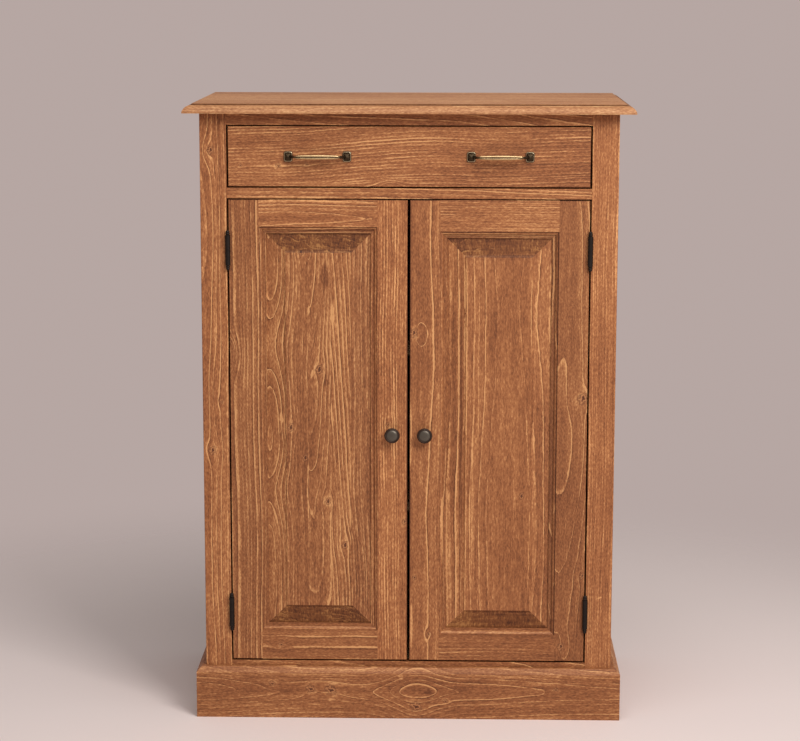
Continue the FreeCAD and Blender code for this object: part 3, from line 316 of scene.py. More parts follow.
FLATTEST = 0.13
LEAST_SHAKE = 0.24

place = split(wood, given["Board"])
heart, deep, lean = split(wood, given["Stave"])
stave_place = step(wood, "CombineXYZ", {0: place["X"], 1: calc(wood, "MULTIPLY", heart, 97.0)}).outputs[0]
drift = step(wood, "TexNoise", {"Vector": stave_place, "W": given["Seed"], "Scale": 2.3, "Detail": 1.0},
             noise_dimensions="4D").outputs[1]
drift = split(wood, vector(wood, "SUBTRACT", drift, (0.5, 0.5, 0.5)))
sideways = weighed((place["Y"], 1.0), (heart, -1.0), (drift[0], 0.022))
sloping = calc(wood, "MULTIPLY", lean, place["X"])
inward = weighed((place["Z"], 1.0), (given["Face"], -1.0), (deep, -1.0), (sloping, -1.0), (drift[1], -0.02))
radius = vector(wood, "LENGTH", step(wood, "CombineXYZ", {0: sideways, 1: inward}).outputs[0])
ripple = grain_noise(8.0, 40.0, 3.0)
tremble = grain_noise(45.0, 110.0, 5.0)
shiver = grain_noise(130.0, 240.0, 9.0)
arc = grain_noise(170.0, 30.0, 7.0, detail=1.0)
# how steeply the face cuts the rings
steep = calc(wood, "MAXIMUM", calc(wood, "DIVIDE", calc(wood, "ABSOLUTE", sideways), radius), FLATTEST)
shaken = calc(wood, "MULTIPLY", weighed((ripple, 0.0032), (tremble, 0.002), (shiver, 0.0011)),
              calc(wood, "POWER", calc(wood, "MAXIMUM", steep, LEAST_SHAKE), 0.6))
across_end = weighed((place["X"], 0.8), (arc, 0.012), (radius, -0.75))
across_end = calc(wood, "MULTIPLY", across_end, given["End"])
bent = weighed((radius, 1.0), (given["Bend"], 1.0), (shaken, 1.0), (across_end, 1.0))
print("ring distance:", len(wood.nodes), "nodes")

# %% Softwood group: late wood
LINE_WIDTH = 0.0021

ring = calc(wood, "DIVIDE", bent, given["Ring"])
uneven = step(wood, "TexNoise", {"W": calc(wood, "MULTIPLY_ADD", ring, 0.45, given["Seed"]), "Scale": 1.0,
                                 "Detail": 1.0}, noise_dimensions="1D").outputs[0]
ring = weighed((ring, 1.0), (uneven, 1.1))
within = calc(wood, "FRACT", ring)
# a line of late wood keeps its width where the face cuts the rings almost flat
share = calc(wood, "DIVIDE", calc(wood, "MULTIPLY", steep, LINE_WIDTH), given["Ring"])
pale_line = between(wood, calc(wood, "SUBTRACT", 1.0, within), calc(wood, "MULTIPLY", share, 1.5),
                    calc(wood, "MULTIPLY", share, 0.6), soft=True)
dark_line = between(wood, within, calc(wood, "MULTIPLY", share, 1.6), 0.0, soft=True)
year = calc(wood, "FLOOR", calc(wood, "ADD", ring, 0.25))
year = calc(wood, "MULTIPLY_ADD", given["Seed"], 3.7, year)
lot = step(wood, "TexWhiteNoise", {"W": year}, noise_dimensions="1D").outputs[0]
lot = calc(wood, "MULTIPLY_ADD", calc(wood, "MULTIPLY", lot, lot), 0.9, 0.3)
fade = calc(wood, "MULTIPLY", between(wood, grain_noise(5.0, 18.0, 11.0), -0.16, 0.12, 0.4, 1.05),
            between(wood, grain_noise(20.0, 75.0, 13.0), -0.14, 0.1, 0.45, 1.15))
hard = weighed((pale_line, 1.0), (dark_line, -0.42), (within, 0.3))
drawn = calc(wood, "MULTIPLY", given["Bold"], calc(wood, "MULTIPLY_ADD", given["End"], -0.4, 1.0))
line = calc(wood, "MULTIPLY", calc(wood, "MULTIPLY", hard, lot), calc(wood, "MULTIPLY", fade, drawn))
thin = calc(wood, "POWER", calc(wood, "FRACT", calc(wood, "MULTIPLY", ring, 3.0)), 3.0)
thin = calc(wood, "MULTIPLY", calc(wood, "MULTIPLY", thin, steep), given["Bold"])
print("late wood:", len(wood.nodes), "nodes")

# %% Softwood group: stain, eyes of knots, end grain, painted shade
GROUND_TONE = 0.4
LIGHT_TONE = 0.66
END_SHADE = (0.555, 0.49, 0.37, 1.0)
# the colour by which painted shade in mouldings, quirks and gaps multiplies the wood
PAINTED_SHADE = (0.36, 0.28, 0.22, 1.0)
# distance from the eye's middle, and the colour there with how much of it shows
EYE_STOPS = (
    (0.0, (0.07, 0.021, 0.009, 0.95)), (0.26, (0.12, 0.036, 0.014, 0.9)), (0.4, (0.45, 0.18, 0.068, 0.7)),
    (0.5, (0.5, 0.22, 0.085, 0.65)), (0.64, (0.1, 0.03, 0.012, 0.7)), (1.0, (0.14, 0.045, 0.018, 0.0)),
)

fibre = grain_noise(22.0, 620.0, 17.0)
streak = grain_noise(4.0, 150.0, 23.0, detail=3.0)
cloud = grain_noise(3.5, 8.0, 31.0)
speck = grain_noise(170.0, 500.0, 37.0)
mottle = grain_noise(50.0, 140.0, 41.0)
scales = calc(wood, "MULTIPLY", weighed((arc, 0.8), (speck, 0.3), (cloud, 0.8)), given["End"])
halo = between(wood, given["Eye"], 1.7, 1.0, high=0.2, soft=True)
halo = calc(wood, "MULTIPLY", halo, calc(wood, "MULTIPLY_ADD", streak, 2.5, 0.7))
tone = weighed((line, 0.85), (thin, 0.24), (fibre, 0.5), (streak, 0.6), (cloud, 0.55), (mottle, 0.42),
               (scales, 1.0), (halo, 1.0), (given["Stroke"], 1.0))
tone = calc(wood, "ADD", calc(wood, "MULTIPLY_ADD", speck, given["Fleck"], tone), 0.38)
colour = mix(wood, between(wood, tone, 0.0, GROUND_TONE), given["Dark"], given["Ground"])
colour = mix(wood, between(wood, tone, GROUND_TONE, LIGHT_TONE), colour, given["Light"])
colour = mix(wood, between(wood, tone, LIGHT_TONE, 1.0), colour, given["Pale"])
stave_lot = step(wood, "TexWhiteNoise", {"W": calc(wood, "MULTIPLY_ADD", heart, 913.0, given["Seed"])},
                 noise_dimensions="1D").outputs[0]
stave_tone = between(wood, stave_lot, 0.0, 1.0, 0.9, 1.06)
colour = step(wood, "VectorMath", {0: colour, 3: stave_tone}, operation="SCALE").outputs[0]
eye = step(wood, "ValToRGB", {0: given["Eye"]})
stops = eye.color_ramp.elements
for place_in_eye, _ in EYE_STOPS[1:-1]:
    stops.new(place_in_eye)
for stop, (place_in_eye, shade) in zip(stops, EYE_STOPS):
    stop.position = place_in_eye
    stop.color = shade
colour = mix(wood, eye.outputs[1], colour, eye.outputs[0])
soaked_and_shaded = mix(wood, given["End"], colour, END_SHADE, blend_type="MULTIPLY")
# painted shade, as much as the board gives: low in mouldings, along quirks, on edges in gaps
soaked_and_shaded = mix(wood, given["Hollow"], soaked_and_shaded, PAINTED_SHADE, blend_type="MULTIPLY")
height = weighed((tone, 0.7), (fibre, 0.8))
relief = step(wood, "Bump", {"Strength": 0.4, "Distance": 0.0006, "Height": height}).outputs[0]
feed(wood, gives["Colour"], soaked_and_shaded)
feed(wood, gives["Roughness"], calc(wood, "ADD", weighed((fibre, 0.3), (tone, -0.12)), 0.62))
feed(wood, gives["Normal"], relief)
print("softwood group:", len(wood.nodes), "nodes")

# %% [markdown]
# ## One finish per board
#
# On the real piece no two boards share their figure. The doors' panels, the sides, the top and the shelves
# are glued up from narrow staves, and each stave comes from another place in a tree. Every board gets a
# material of its own here: a Mapping node lays the pattern along that board's grain, a ramp with hard stops
# lists its staves from edge to edge, and chains of small groups set the swells, knots and strokes that it
# has.

# %% How a board lies
X, Y, Z = Vector((1, 0, 0)), Vector((0, 1, 0)), Vector((0, 0, 1))
# along the grain, across it, and into the wood
LAYS = {
    "upright": (Z, X, Y), "level": (X, -Z, Y), "top": (X, -Y, -Z), "left": (Z, -Y, X), "right": (Z, Y, -X),
    "back": (Z, -X, -Y), "drawer_left": (Y, Z, X), "drawer_right": (Y, -Z, -X), "deep": (Y, X, -Z),
}
# a ramp holds nothing below zero, so hearts and leans are kept as shares of these spans, moved up by half
HEART_SPAN = 1.0
LEAN_SPAN = 0.4


def use(tree, group, **feeds):
    """Adds one of the groups above and feeds it by name"""
    made = tree.nodes.new("ShaderNodeGroup")
    made.node_tree = group
    for key, value in feeds.items():
        feed(tree, made.inputs[key], value)
    return made.outputs


def stave_table(tree, across, width, staves):
    """A ramp with hard stops: from edge to edge, each stave's heart, depth, lean and boldness"""
    ramp = step(tree, "ValToRGB", {0: between(tree, across, -width / 2, width / 2)})
    ramp.color_ramp.interpolation = "CONSTANT"
    stops = ramp.color_ramp.elements
    total = sum(share_of_width for share_of_width, *_ in staves)
    start = 0.0
    for number, (share_of_width, heart, depth, lean, bold) in enumerate(staves):
        stop = stops[0] if number == 0 else stops.new(start / total)
        stop.color = (0.5 + heart / HEART_SPAN, depth, 0.5 + lean / LEAN_SPAN, bold)
        start += share_of_width
    stops[-1].color = stops[len(staves) - 1].color
    table = vector(tree, "SUBTRACT", ramp.outputs[0], (0.5, 0.0, 0.5))
    return vector(tree, "MULTIPLY", table, (HEART_SPAN, 1.0, LEAN_SPAN)), ramp.outputs[1]


def heart_beside(staves, width, across):
    """The heart of the stave that a place across the board belongs to"""
    scale = width / sum(share_of_width for share_of_width, *_ in staves)
    edge = -width / 2
    for share_of_width, heart, *_ in staves:
        edge += share_of_width * scale
        if across < edge:
            break
    return heart


print("lays:", ", ".join(LAYS))

# %% Painted shade in mouldings, quirks and gaps
# distance from a moulded inner edge, and how dark the painted shadow line there is
QUIRK_SHADOWS = ((0.0122, 1.0), (0.006, 0.6))
QUIRK_SHADOW_REACH = (0.002, 0.0008)
# how dark the painted shade on an edge facing a gap gets, and how far the edge has to face the gap
GAP_SHADE = 0.8
GAP_SHADE_FACING = (0.4, 0.8)
# depths below the face between which the painted shade grows
HOLLOW_SHADE_DEPTHS = (0.0008, 0.006)
QUIRK_SHADOW_DEPTHS = (0.0004, 0.0012)
GAP_SHADE_DEPTHS = (0.0006, 0.002)


def painted_crevice_shade(tree, board, normal, sizes, hollow_shade, inner, gap_shade_side):
    """How much painted shade a spot gets: low in a moulding, along its quirks, and on an edge that lies in a
    gap
    """
    across, into = split(tree, board)[1:]
    depth = calc(tree, "ADD", into, sizes[2] / 2)
    amount = between(tree, depth, *HOLLOW_SHADE_DEPTHS, high=hollow_shade, soft=True)
    if inner:
        inset = calc(tree, "MULTIPLY_ADD", across, math.copysign(1.0, -inner), sizes[1] / 2)
        sunk = between(tree, depth, *QUIRK_SHADOW_DEPTHS, soft=True)
        for place, strength in QUIRK_SHADOWS:
            off = calc(tree, "ABSOLUTE", calc(tree, "SUBTRACT", inset, place))
            line = between(tree, off, *QUIRK_SHADOW_REACH, high=strength * abs(inner), soft=True)
            amount = calc(tree, "MAXIMUM", amount, calc(tree, "MULTIPLY", line, sunk))
    if gap_shade_side:
        facing = vector(tree, "DOT_PRODUCT", normal, gap_shade_side)
        facing = between(tree, facing, *GAP_SHADE_FACING, high=GAP_SHADE, soft=True)
        sunk = between(tree, depth, *GAP_SHADE_DEPTHS, soft=True)
        amount = calc(tree, "MAXIMUM", amount, calc(tree, "MULTIPLY", facing, sunk))
    return amount


print("quirks at", [place for place, strength in QUIRK_SHADOWS])

# %% The finish of one board
FACE_Y = -0.195
STAIN = {"Dark": (0.145, 0.045, 0.015), "Ground": (0.29, 0.1, 0.034), "Light": (0.41, 0.16, 0.057),
         "Pale": (0.68, 0.33, 0.13)}
NO_EYE = 9.0
# how far a face has to turn towards the end of the board to show end grain
END_SLOPES = (0.04, 0.11)


def board_finish(name, lay, staves, ring=0.006, seed=0.0, swells=(), knots=(), strokes=(), turn=0.0,
                 stain=STAIN, shade=1.0, hollow_shade=0.0, inner=0, gap_shade_side=None, fleck=1.3, face=FACE_Y):
    """Gives one CAD board its own softwood material, and returns its tree and shader

    The sign of inner says which edge is moulded, and its size how dark the painted shadow lines along that
    edge are.
    The hollow argument sets painted shade low in the moulding, and seam an edge that gets painted shade in a
    gap.
    """
    material, tree, out = fresh(name)
    low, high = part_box(name)
    centre = (low + high) / 2
    turned = Matrix(LAYS[lay]).transposed() @ Matrix.Rotation(math.radians(turn), 3, "Z")
    sizes = [abs(axis.dot(high - low)) for axis in LAYS[lay]]
    coords = step(tree, "TexCoord").outputs
    board = step(tree, "Mapping", {"Vector": coords["Object"], "Location": centre,
                                   "Rotation": turned.to_euler()}, vector_type="TEXTURE").outputs[0]
    table, bold = stave_table(tree, split(tree, board)["Y"], sizes[1], staves)

    def on_board(x, z):
        return turned.transposed() @ (Vector((x, face, z)) - centre)

    bend, eye, pale = 0.0, NO_EYE, 0.0
    for x, z, along, across, lift in swells:
        bend = use(tree, swell, Board=board, Place=on_board(x, z), Reach=(along, across, 1.0), Lift=lift,
                   Bend=bend)[0]
    for x, z, size, part in knots:
        spot = on_board(x, z)
        side = spot.y - heart_beside(staves, sizes[1], spot.y)
        bend, eye = use(tree, knot, Board=board, Place=spot, Size=size, Part=math.copysign(part, side),
                        Bend=bend, Eye=eye)
    for x, z, along, across, slant, strength in strokes:
        pale = use(tree, stroke, Board=board, Place=on_board(x, z), Reach=(along, across, 1.0),
                   Turn=math.radians(slant), Tone=strength, Stroke=pale)[0]
    slope = calc(tree, "ABSOLUTE", vector(tree, "DOT_PRODUCT", coords["Normal"], LAYS[lay][0]))
    cut = between(tree, slope, *END_SLOPES)
    colours = {key: (*(shade * part for part in colour), 1.0) for key, colour in stain.items()}
    # painted shade low in the moulding, along its quirks, and on an edge in a gap
    painted_shade_amount = painted_crevice_shade(tree, board, coords["Normal"], sizes, hollow_shade, inner, gap_shade_side)
    colour, roughness, normal = use(
        tree, wood, Board=board, Stave=table, Bold=bold, Face=-sizes[2] / 2, Ring=ring, Seed=seed, Bend=bend,
        Eye=eye, Stroke=pale, End=cut, Hollow=painted_shade_amount, Fleck=fleck, **colours)
    shader = step(tree, "BsdfPrincipled", {"Base Color": colour, "Roughness": roughness, "Normal": normal,
                                           "Specular IOR Level": 0.28})
    feed(tree, out.inputs["Surface"], shader.outputs[0])
    dress(material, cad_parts[name])
    return tree, shader


print("board finish ready")

# %% [markdown]
# ## The front
#
# The front is what the eye meets first, so its boards are set one by one: where the heart of the tree lies
# across the board, how deep behind the face, how it leans along the board, and where its swells, knots and
# strokes are. Each of them starts with its place on the front, aside from the middle and up from the floor.

# %% Left door
# a stave: width, heart across, heart depth, lean, boldness
# a swell: place, reach along the grain and across it, lift
# a knot: place, size, how far it parts the rings
# a stroke: place, reach along the grain and across it, slant in degrees, how pale or, below zero, how dark
# hollow, inner and seam add painted shade: low in a frame board's moulding, along its quirks, on an edge
# facing a gap
board_finish(
    "left_door_panel", "upright",
    [(0.045, -0.094, 0.028, 0.0, 2.0), (0.0435, -0.2, 0.12, 0.0, 0.75),
     (0.0445, -0.0185, 0.03, -0.062, 1.4), (0.0395, -0.06, 0.06, 0.09, 1.4), (0.047, -0.25, 0.1, 0.0, 0.6)],
    ring=0.0064, seed=1.3, shade=0.88,
    swells=[(-0.268, 0.745, 0.085, 0.05, 0.014), (-0.268, 0.455, 0.06, 0.05, 0.012),
            (-0.118, 0.24, 0.13, 0.05, -0.014)],
    knots=[(-0.173, 0.698, 0.009, 0.6), (-0.207, 0.927, 0.0065, 0.7), (-0.229, 0.583, 0.008, 0.6),
           (-0.201, 0.523, 0.007, 0.6), (-0.157, 0.436, 0.007, 0.6), (-0.124, 0.348, 0.0075, 0.7)],
    strokes=[(-0.147, 0.803, 0.028, 0.0045, 3, 0.6), (-0.1935, 0.812, 0.011, 0.003, -4, 0.55),
             (-0.187, 0.688, 0.011, 0.0033, -10, 0.5), (-0.2475, 0.6, 0.016, 0.0042, 4, 0.6),
             (-0.1485, 0.605, 0.03, 0.0032, 5, 0.55), (-0.1615, 0.878, 0.036, 0.0085, 0, -0.38),
             (-0.16, 0.671, 0.009, 0.006, 0, -0.3)])
board_finish(
    "left_door_hinge_stile", "upright", [(1, 0.2, 0.05, 0.0, 0.9)], ring=0.0088, seed=2.1, shade=0.92,
    hollow_shade=0.12, inner=0.4, gap_shade_side=Z, swells=[(-0.346, 0.726, 0.034, 0.018, 0.028)])
# its last stroke is painted shade along the gap where the doors meet
board_finish(
    "left_door_lock_stile", "upright", [(1, 0.16, 0.09, 0.0, 0.45)], ring=0.0046, seed=3.4, hollow_shade=0.3,
    inner=-0.8, gap_shade_side=Z, knots=[(-0.0073, 0.396, 0.006, 0.5), (-0.04, 0.589, 0.005, 0.6)],
    strokes=[(-0.0625, 0.74, 0.05, 0.003, 0, 0.22), (-0.003, 0.57, 0.6, 0.0014, 0, -0.5)])
board_finish(
    "left_door_top_rail", "level", [(1, 0.0065, 0.0155, 0.018, 1.8)], ring=0.006, seed=4.2, shade=1.02,
    hollow_shade=0.55, inner=1, gap_shade_side=Z)
# its stroke is a painted highlight along the moulding, where the slope looks up to the light
board_finish(
    "left_door_bottom_rail", "level", [(1, -0.03, 0.09, 0.01, 0.8)], ring=0.0068, seed=5.8, shade=0.92,
    knots=[(-0.251, 0.145, 0.005, 0.7)], strokes=[(-0.174, 0.1785, 0.16, 0.0034, 0, 0.3)])
print("left door dressed")

# %% Right door
board_finish(
    "right_door_panel", "upright", [(1, 0.022, 0.15, 0.005, 1.0)], ring=0.0068, seed=6.5, shade=0.97,
    swells=[(0.09, 0.56, 0.8, 0.012, 0.0034)], knots=[(0.221, 0.449, 0.0065, 0.5)],
    strokes=[(0.088, 0.56, 0.42, 0.009, 0.1, -0.24), (0.0945, 0.62, 0.42, 0.0016, 0.1, 0.2),
             (0.1125, 0.52, 0.44, 0.0016, -0.1, 0.3), (0.125, 0.55, 0.42, 0.0018, -0.25, 0.3),
             (0.136, 0.72, 0.3, 0.0014, -0.2, 0.24), (0.1018, 0.55, 0.42, 0.0036, 0, -0.4),
             (0.2445, 0.55, 0.42, 0.003, 0.1, 0.2)])
# its first stroke is painted shade along the gap where the doors meet
board_finish(
    "right_door_lock_stile", "upright", [(1, -0.018, 0.0513, 0.0, 0.75)], ring=0.006, seed=7.7, shade=0.93,
    hollow_shade=0.15, inner=0.3, gap_shade_side=Z,
    swells=[(0.025, 0.7665, 0.034, 0.013, 0.009), (0.019, 0.53, 0.17, 0.06, 0.005)],
    knots=[(0.0097, 0.77, 0.0085, 0.15), (0.012, 0.283, 0.005, 0.4), (0.0402, 0.168, 0.0045, 0.6)],
    strokes=[(0.003, 0.57, 0.6, 0.0014, 0, -0.5), (0.0065, 0.185, 0.055, 0.003, 0, 0.5)])
board_finish(
    "right_door_hinge_stile", "upright", [(1, -0.0155, 0.0803, 0.0, 1.3)], ring=0.0085, seed=8.9, shade=0.84,
    hollow_shade=0.38, inner=-1, gap_shade_side=Z,
    swells=[(0.297, 0.553, 0.27, 0.2, -0.0218), (0.297, 0.98, 0.2, 0.2, -0.01)],
    knots=[(0.3373, 0.643, 0.011, 0.6), (0.301, 0.145, 0.008, 0.6), (0.341, 0.289, 0.006, 0.6)])
board_finish(
    "right_door_top_rail", "level", [(1, 0.15, 0.05, 0.0, 0.8)], ring=0.0042, seed=9.4, shade=1.06,
    hollow_shade=0.55, inner=1, gap_shade_side=Z)
# its stroke is a painted highlight along the moulding, where the slope looks up to the light
board_finish(
    "right_door_bottom_rail", "level", [(1, 0.15, 0.16, 0.0, 0.4)], ring=0.005, seed=10.6, shade=0.97,
    strokes=[(0.174, 0.1722, 0.16, 0.0034, 0, 0.3)])
print("right door dressed")

# %% Drawer front, face frame and plinth
PLINTH_Y = -0.213

board_finish(
    "drawer_front", "level", [(1, -0.22, 0.12, 0.0, 0.6)], ring=0.0058, seed=11.2, turn=-1.6, shade=0.97,
    gap_shade_side=Z, swells=[(-0.036, 1.055, 0.022, 0.012, 0.012), (-0.2, 1.1, 0.09, 0.1, -0.004),
                    (0.05, 1.11, 0.1, 0.1, 0.004)],
    knots=[(-0.249, 1.0916, 0.0055, 0.6), (-0.322, 1.0925, 0.0035, 0.6), (-0.195, 1.095, 0.0035, 0.6)],
    strokes=[(-0.255, 1.088, 0.004, 0.0035, 0, 0.35), (0.29, 1.11, 0.14, 0.09, 0, -0.1),
             (-0.3, 1.11, 0.12, 0.09, 0, 0.08)])
board_finish(
    "face_stile_left", "upright", [(1, -0.04, 0.035, 0.0, 0.8)], ring=0.0098, seed=12.5, shade=1.01, gap_shade_side=X,
    swells=[(-0.377, 0.66, 0.085, 0.012, 0.005), (-0.39, 0.95, 0.12, 0.02, -0.008),
            (-0.38, 1.121, 0.03, 0.02, 0.006)],
    knots=[(-0.379, 1.121, 0.008, 0.8), (-0.3825, 0.536, 0.0085, 0.8), (-0.363, 0.632, 0.0035, 0.6)])
board_finish(
    "face_stile_right", "upright", [(1, 0.2, 0.16, 0.0, 0.3)], ring=0.0042, seed=13.1, fleck=1.2, shade=1.03,
    gap_shade_side=-X, strokes=[(0.376, 0.245, 0.0025, 0.007, 20, 0.4), (0.375, 1.0, 0.25, 0.2, 0, 0.09)])
board_finish("face_rail_top", "level", [(1, 0.06, 0.08, 0.07, 0.9)], ring=0.008, seed=14.3, shade=1.12)
board_finish("face_rail_middle", "level", [(1, 0.06, 0.06, 0.02, 0.9)], ring=0.0058, seed=15.7, shade=0.94)
board_finish("face_rail_bottom", "level", [(1, 0.01, 0.05, 0.05, 0.9)], ring=0.006, seed=16.2, gap_shade_side=Z)
# its last stroke is a painted highlight along the top chamfer
board_finish(
    "plinth_front", "level", [(1, -0.003, 0.016, 0.0, 0.62)], ring=0.0082, seed=17.9, shade=0.92,
    face=PLINTH_Y,
    swells=[(0.013, 0.056, 0.055, 0.3, -0.022), (0.13, 0.056, 0.15, 0.3, -0.011),
            (-0.44, 0.056, 0.16, 0.3, -0.018)],
    knots=[(-0.268, 0.07, 0.006, 0.7), (-0.192, 0.06, 0.009, 0.7), (-0.152, 0.058, 0.011, 0.6),
           (0.0165, 0.0255, 0.011, 0.5), (0.0745, 0.037, 0.005, 0.7), (0.292, 0.062, 0.005, 0.7)],
    strokes=[(-0.147, 0.07, 0.007, 0.003, 0, 0.35), (-0.152, 0.037, 0.012, 0.004, 0, 0.25),
             (-0.014, 0.085, 0.006, 0.009, 0, 0.3), (0.043, 0.052, 0.014, 0.009, 0, -0.4),
             (0.0, 0.094, 0.9, 0.011, 0, 0.16)])
print("drawer front, face frame and plinth dressed")

# %% [markdown]
# ## Top, sides, back and inside
#
# The wide boards are glued up from staves about as wide as two fingers. Their hearts and depths are drawn
# from a seeded list, because no one of them stands out, but neighbours have to differ.

# %% Glued-up boards
TOP_STAIN = {"Dark": (0.2, 0.069, 0.022), "Ground": (0.364, 0.153, 0.06), "Light": (0.475, 0.222, 0.093),
             "Pale": (0.67, 0.385, 0.172)}
INNER_STAIN = {"Dark": (0.4, 0.215, 0.1), "Ground": (0.52, 0.31, 0.155), "Light": (0.6, 0.39, 0.21),
               "Pale": (0.7, 0.5, 0.3)}
PLY_STAIN = {"Dark": (0.47, 0.31, 0.17), "Ground": (0.56, 0.4, 0.235), "Light": (0.62, 0.46, 0.28),
             "Pale": (0.68, 0.53, 0.34)}
# colour of the painted shadow in the quirk of the top's moulded edge
QUIRK_PAINTED_SHADOW = (0.42, 0.36, 0.3, 1.0)
# heights between which the painted shadow in the quirk of the top's moulding comes and goes
QUIRK_FOOT = (1.2066, 1.2076)
QUIRK_HEAD = (1.20995, 1.2094)
STAVE_WIDTH = 0.046
STAVE_BOLD = 0.8
GLUED_RING = 0.0058
draw = random.Random(7)


def staves_for(width):
    """Staves across a glued-up board, each from another place in a tree"""
    count = max(1, round(width / STAVE_WIDTH))
    middle = (count - 1) / 2
    return [(1, (number - middle) * width / count + draw.uniform(-0.09, 0.09), draw.uniform(0.04, 0.14),
             draw.uniform(-0.05, 0.05), STAVE_BOLD * draw.uniform(0.5, 1.1)) for number in range(count)]


def glued(name, lay, stain=STAIN, **options):
    """Dresses a glued-up board"""
    low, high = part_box(name)
    staves = staves_for(abs(LAYS[lay][1].dot(high - low)))
    return board_finish(name, lay, staves, ring=GLUED_RING, seed=draw.uniform(20, 90), stain=stain, **options)


tree, shader = glued("top_board", "top", TOP_STAIN, fleck=1.4)
# a painted shadow darkens the quirk of the top's moulded edge
height = split(tree, step(tree, "TexCoord").outputs["Object"])["Z"]
quirk_shadow_mask = calc(tree, "MULTIPLY", between(tree, height, *QUIRK_FOOT), between(tree, height, *QUIRK_HEAD))
stained = shader.inputs["Base Color"].links[0].from_socket
feed(tree, shader.inputs["Base Color"], mix(tree, quirk_shadow_mask, stained, QUIRK_PAINTED_SHADOW, blend_type="MULTIPLY"))
glued("side_panel_left", "left")
glued("side_panel_right", "right")
for name in ("shelf_lower", "shelf_upper", "bottom_board", "top_stretcher_front", "top_stretcher_rear"):
    glued(name, "top", INNER_STAIN)
for number in range(1, 6):
    glued(f"back_board_{number}", "back", INNER_STAIN)
for side in ("left", "right"):
    glued(f"plinth_side_{side}", "drawer_" + side)
    glued(f"drawer_side_{side}", "drawer_" + side, INNER_STAIN)
    glued(f"drawer_runner_{side}", "deep", INNER_STAIN)
    glued(f"drawer_kicker_{side}", "deep", INNER_STAIN)
glued("drawer_back", "level", INNER_STAIN)
board_finish("drawer_bottom", "level", [(1, 0.05, 0.35, 0.0, 0.5)], ring=0.004, seed=18.4, stain=PLY_STAIN)
glued("drawer_stops", "level", INNER_STAIN)
print("glued-up boards dressed")

# %% [markdown]
# ## Knobs
#
# Each door has a turned knob: a flat foot, a waisted neck, and a round head with a raised rim around a low
# dome. A knob could be a spun profile. Here a disc is pushed outwards ring by ring, as a turner reads a
# template: each step says how far out the next ring lies and how wide it is.

# %% Helpers for shaping a piece
def choose(piece, *others):
    """Selects some pieces and nothing else, and makes the first one active"""
    bpy.ops.object.select_all(action="DESELECT")
    for chosen in (piece, *others):
        chosen.select_set(True)
    bpy.context.view_layer.objects.active = piece


def begin(add, name, **options):
    """Adds a primitive, puts its place and turn into its mesh, and opens it with all of it selected"""
    bpy.ops.object.select_all(action="DESELECT")
    add(**options)
    piece = bpy.context.object
    piece.name = name
    piece.data.name = name
    bpy.ops.object.transform_apply(location=True, rotation=True, scale=True)
    bpy.ops.object.mode_set(mode="EDIT")
    bpy.ops.mesh.select_all(action="SELECT")
    return piece


def pick(piece, kind, test):
    """In edit mode, selects the vertices, edges or faces that pass a test"""
    bpy.ops.mesh.select_mode(type={"verts": "VERT", "edges": "EDGE", "faces": "FACE"}[kind])
    bpy.ops.mesh.select_all(action="DESELECT")
    shape = bmesh.from_edit_mesh(piece.data)
    chosen = [part for part in getattr(shape, kind) if test(part)]
    for part in chosen:
        part.select_set(True)
    bmesh.update_edit_mesh(piece.data)
    return len(chosen)


def draw_out(shift):
    """Extrudes what is selected"""
    bpy.ops.mesh.extrude_region_move(TRANSFORM_OT_translate={"value": shift})


def close_shape(angle):
    """Merges doubles, turns all faces outwards, leaves edit mode and shades smooth up to an angle"""
    bpy.ops.mesh.select_all(action="SELECT")
    bpy.ops.mesh.remove_doubles(threshold=1e-6)
    bpy.ops.mesh.normals_make_consistent(inside=False)
    bpy.ops.object.mode_set(mode="OBJECT")
    bpy.ops.object.shade_smooth_by_angle(angle=math.radians(angle))


def move(piece, shift):
    """Moves a piece and puts its new place into its mesh"""
    choose(piece)
    bpy.ops.transform.translate(value=shift)
    bpy.ops.object.transform_apply(location=True, rotation=False, scale=False)


def another(piece, name, shift):
    """A copy of a piece with a mesh of its own, moved along"""
    choose(piece)
    bpy.ops.object.duplicate(linked=False)
    copy = bpy.context.object
    copy.name = name
    copy.data.name = name
    move(copy, shift)
    return copy


print("shaping helpers ready")

# %% Turn the knobs
KNOB_X = 0.0315
KNOB_Z = 0.57075
KNOB_FOOT = 0.008
KNOB_SIDES = 56
# how far out from the door, and radius
KNOB_RINGS = (
    (0.0014, 0.008), (0.002, 0.0075), (0.0026, 0.0066), (0.005, 0.0057), (0.0085, 0.0056),
    (0.0112, 0.0066), (0.0126, 0.0088), (0.0134, 0.0113), (0.0145, 0.0136), (0.0159, 0.0147),
    (0.0174, 0.0149), (0.0188, 0.0144), (0.0197, 0.0133), (0.0199, 0.0123), (0.0196, 0.0117),
    (0.0192, 0.0113), (0.0196, 0.0107), (0.0205, 0.0094), (0.0211, 0.0077), (0.0215, 0.0056),
    (0.0217, 0.003), (0.02175, 0.0008),
)

left_knob = begin(bpy.ops.mesh.primitive_circle_add, "left_knob", vertices=KNOB_SIDES, radius=KNOB_FOOT,
                  fill_type="NGON", location=(-KNOB_X, FACE_Y, KNOB_Z), rotation=(math.pi / 2, 0, 0))
out, radius = 0.0, KNOB_FOOT
for next_out, next_radius in KNOB_RINGS:
    draw_out((0, out - next_out, 0))
    share = next_radius / radius
    bpy.ops.transform.resize(value=(share, 1, share), center_override=(-KNOB_X, FACE_Y - next_out, KNOB_Z))
    out, radius = next_out, next_radius
close_shape(40)
right_knob = another(left_knob, "right_knob", (2 * KNOB_X, 0, 0))
for side, knob_piece in (("left", left_knob), ("right", right_knob)):
    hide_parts(f"{side}_door_knob")
    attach(knob_piece, f"{side}_door")
print("knobs:", len(left_knob.data.polygons), "faces each")

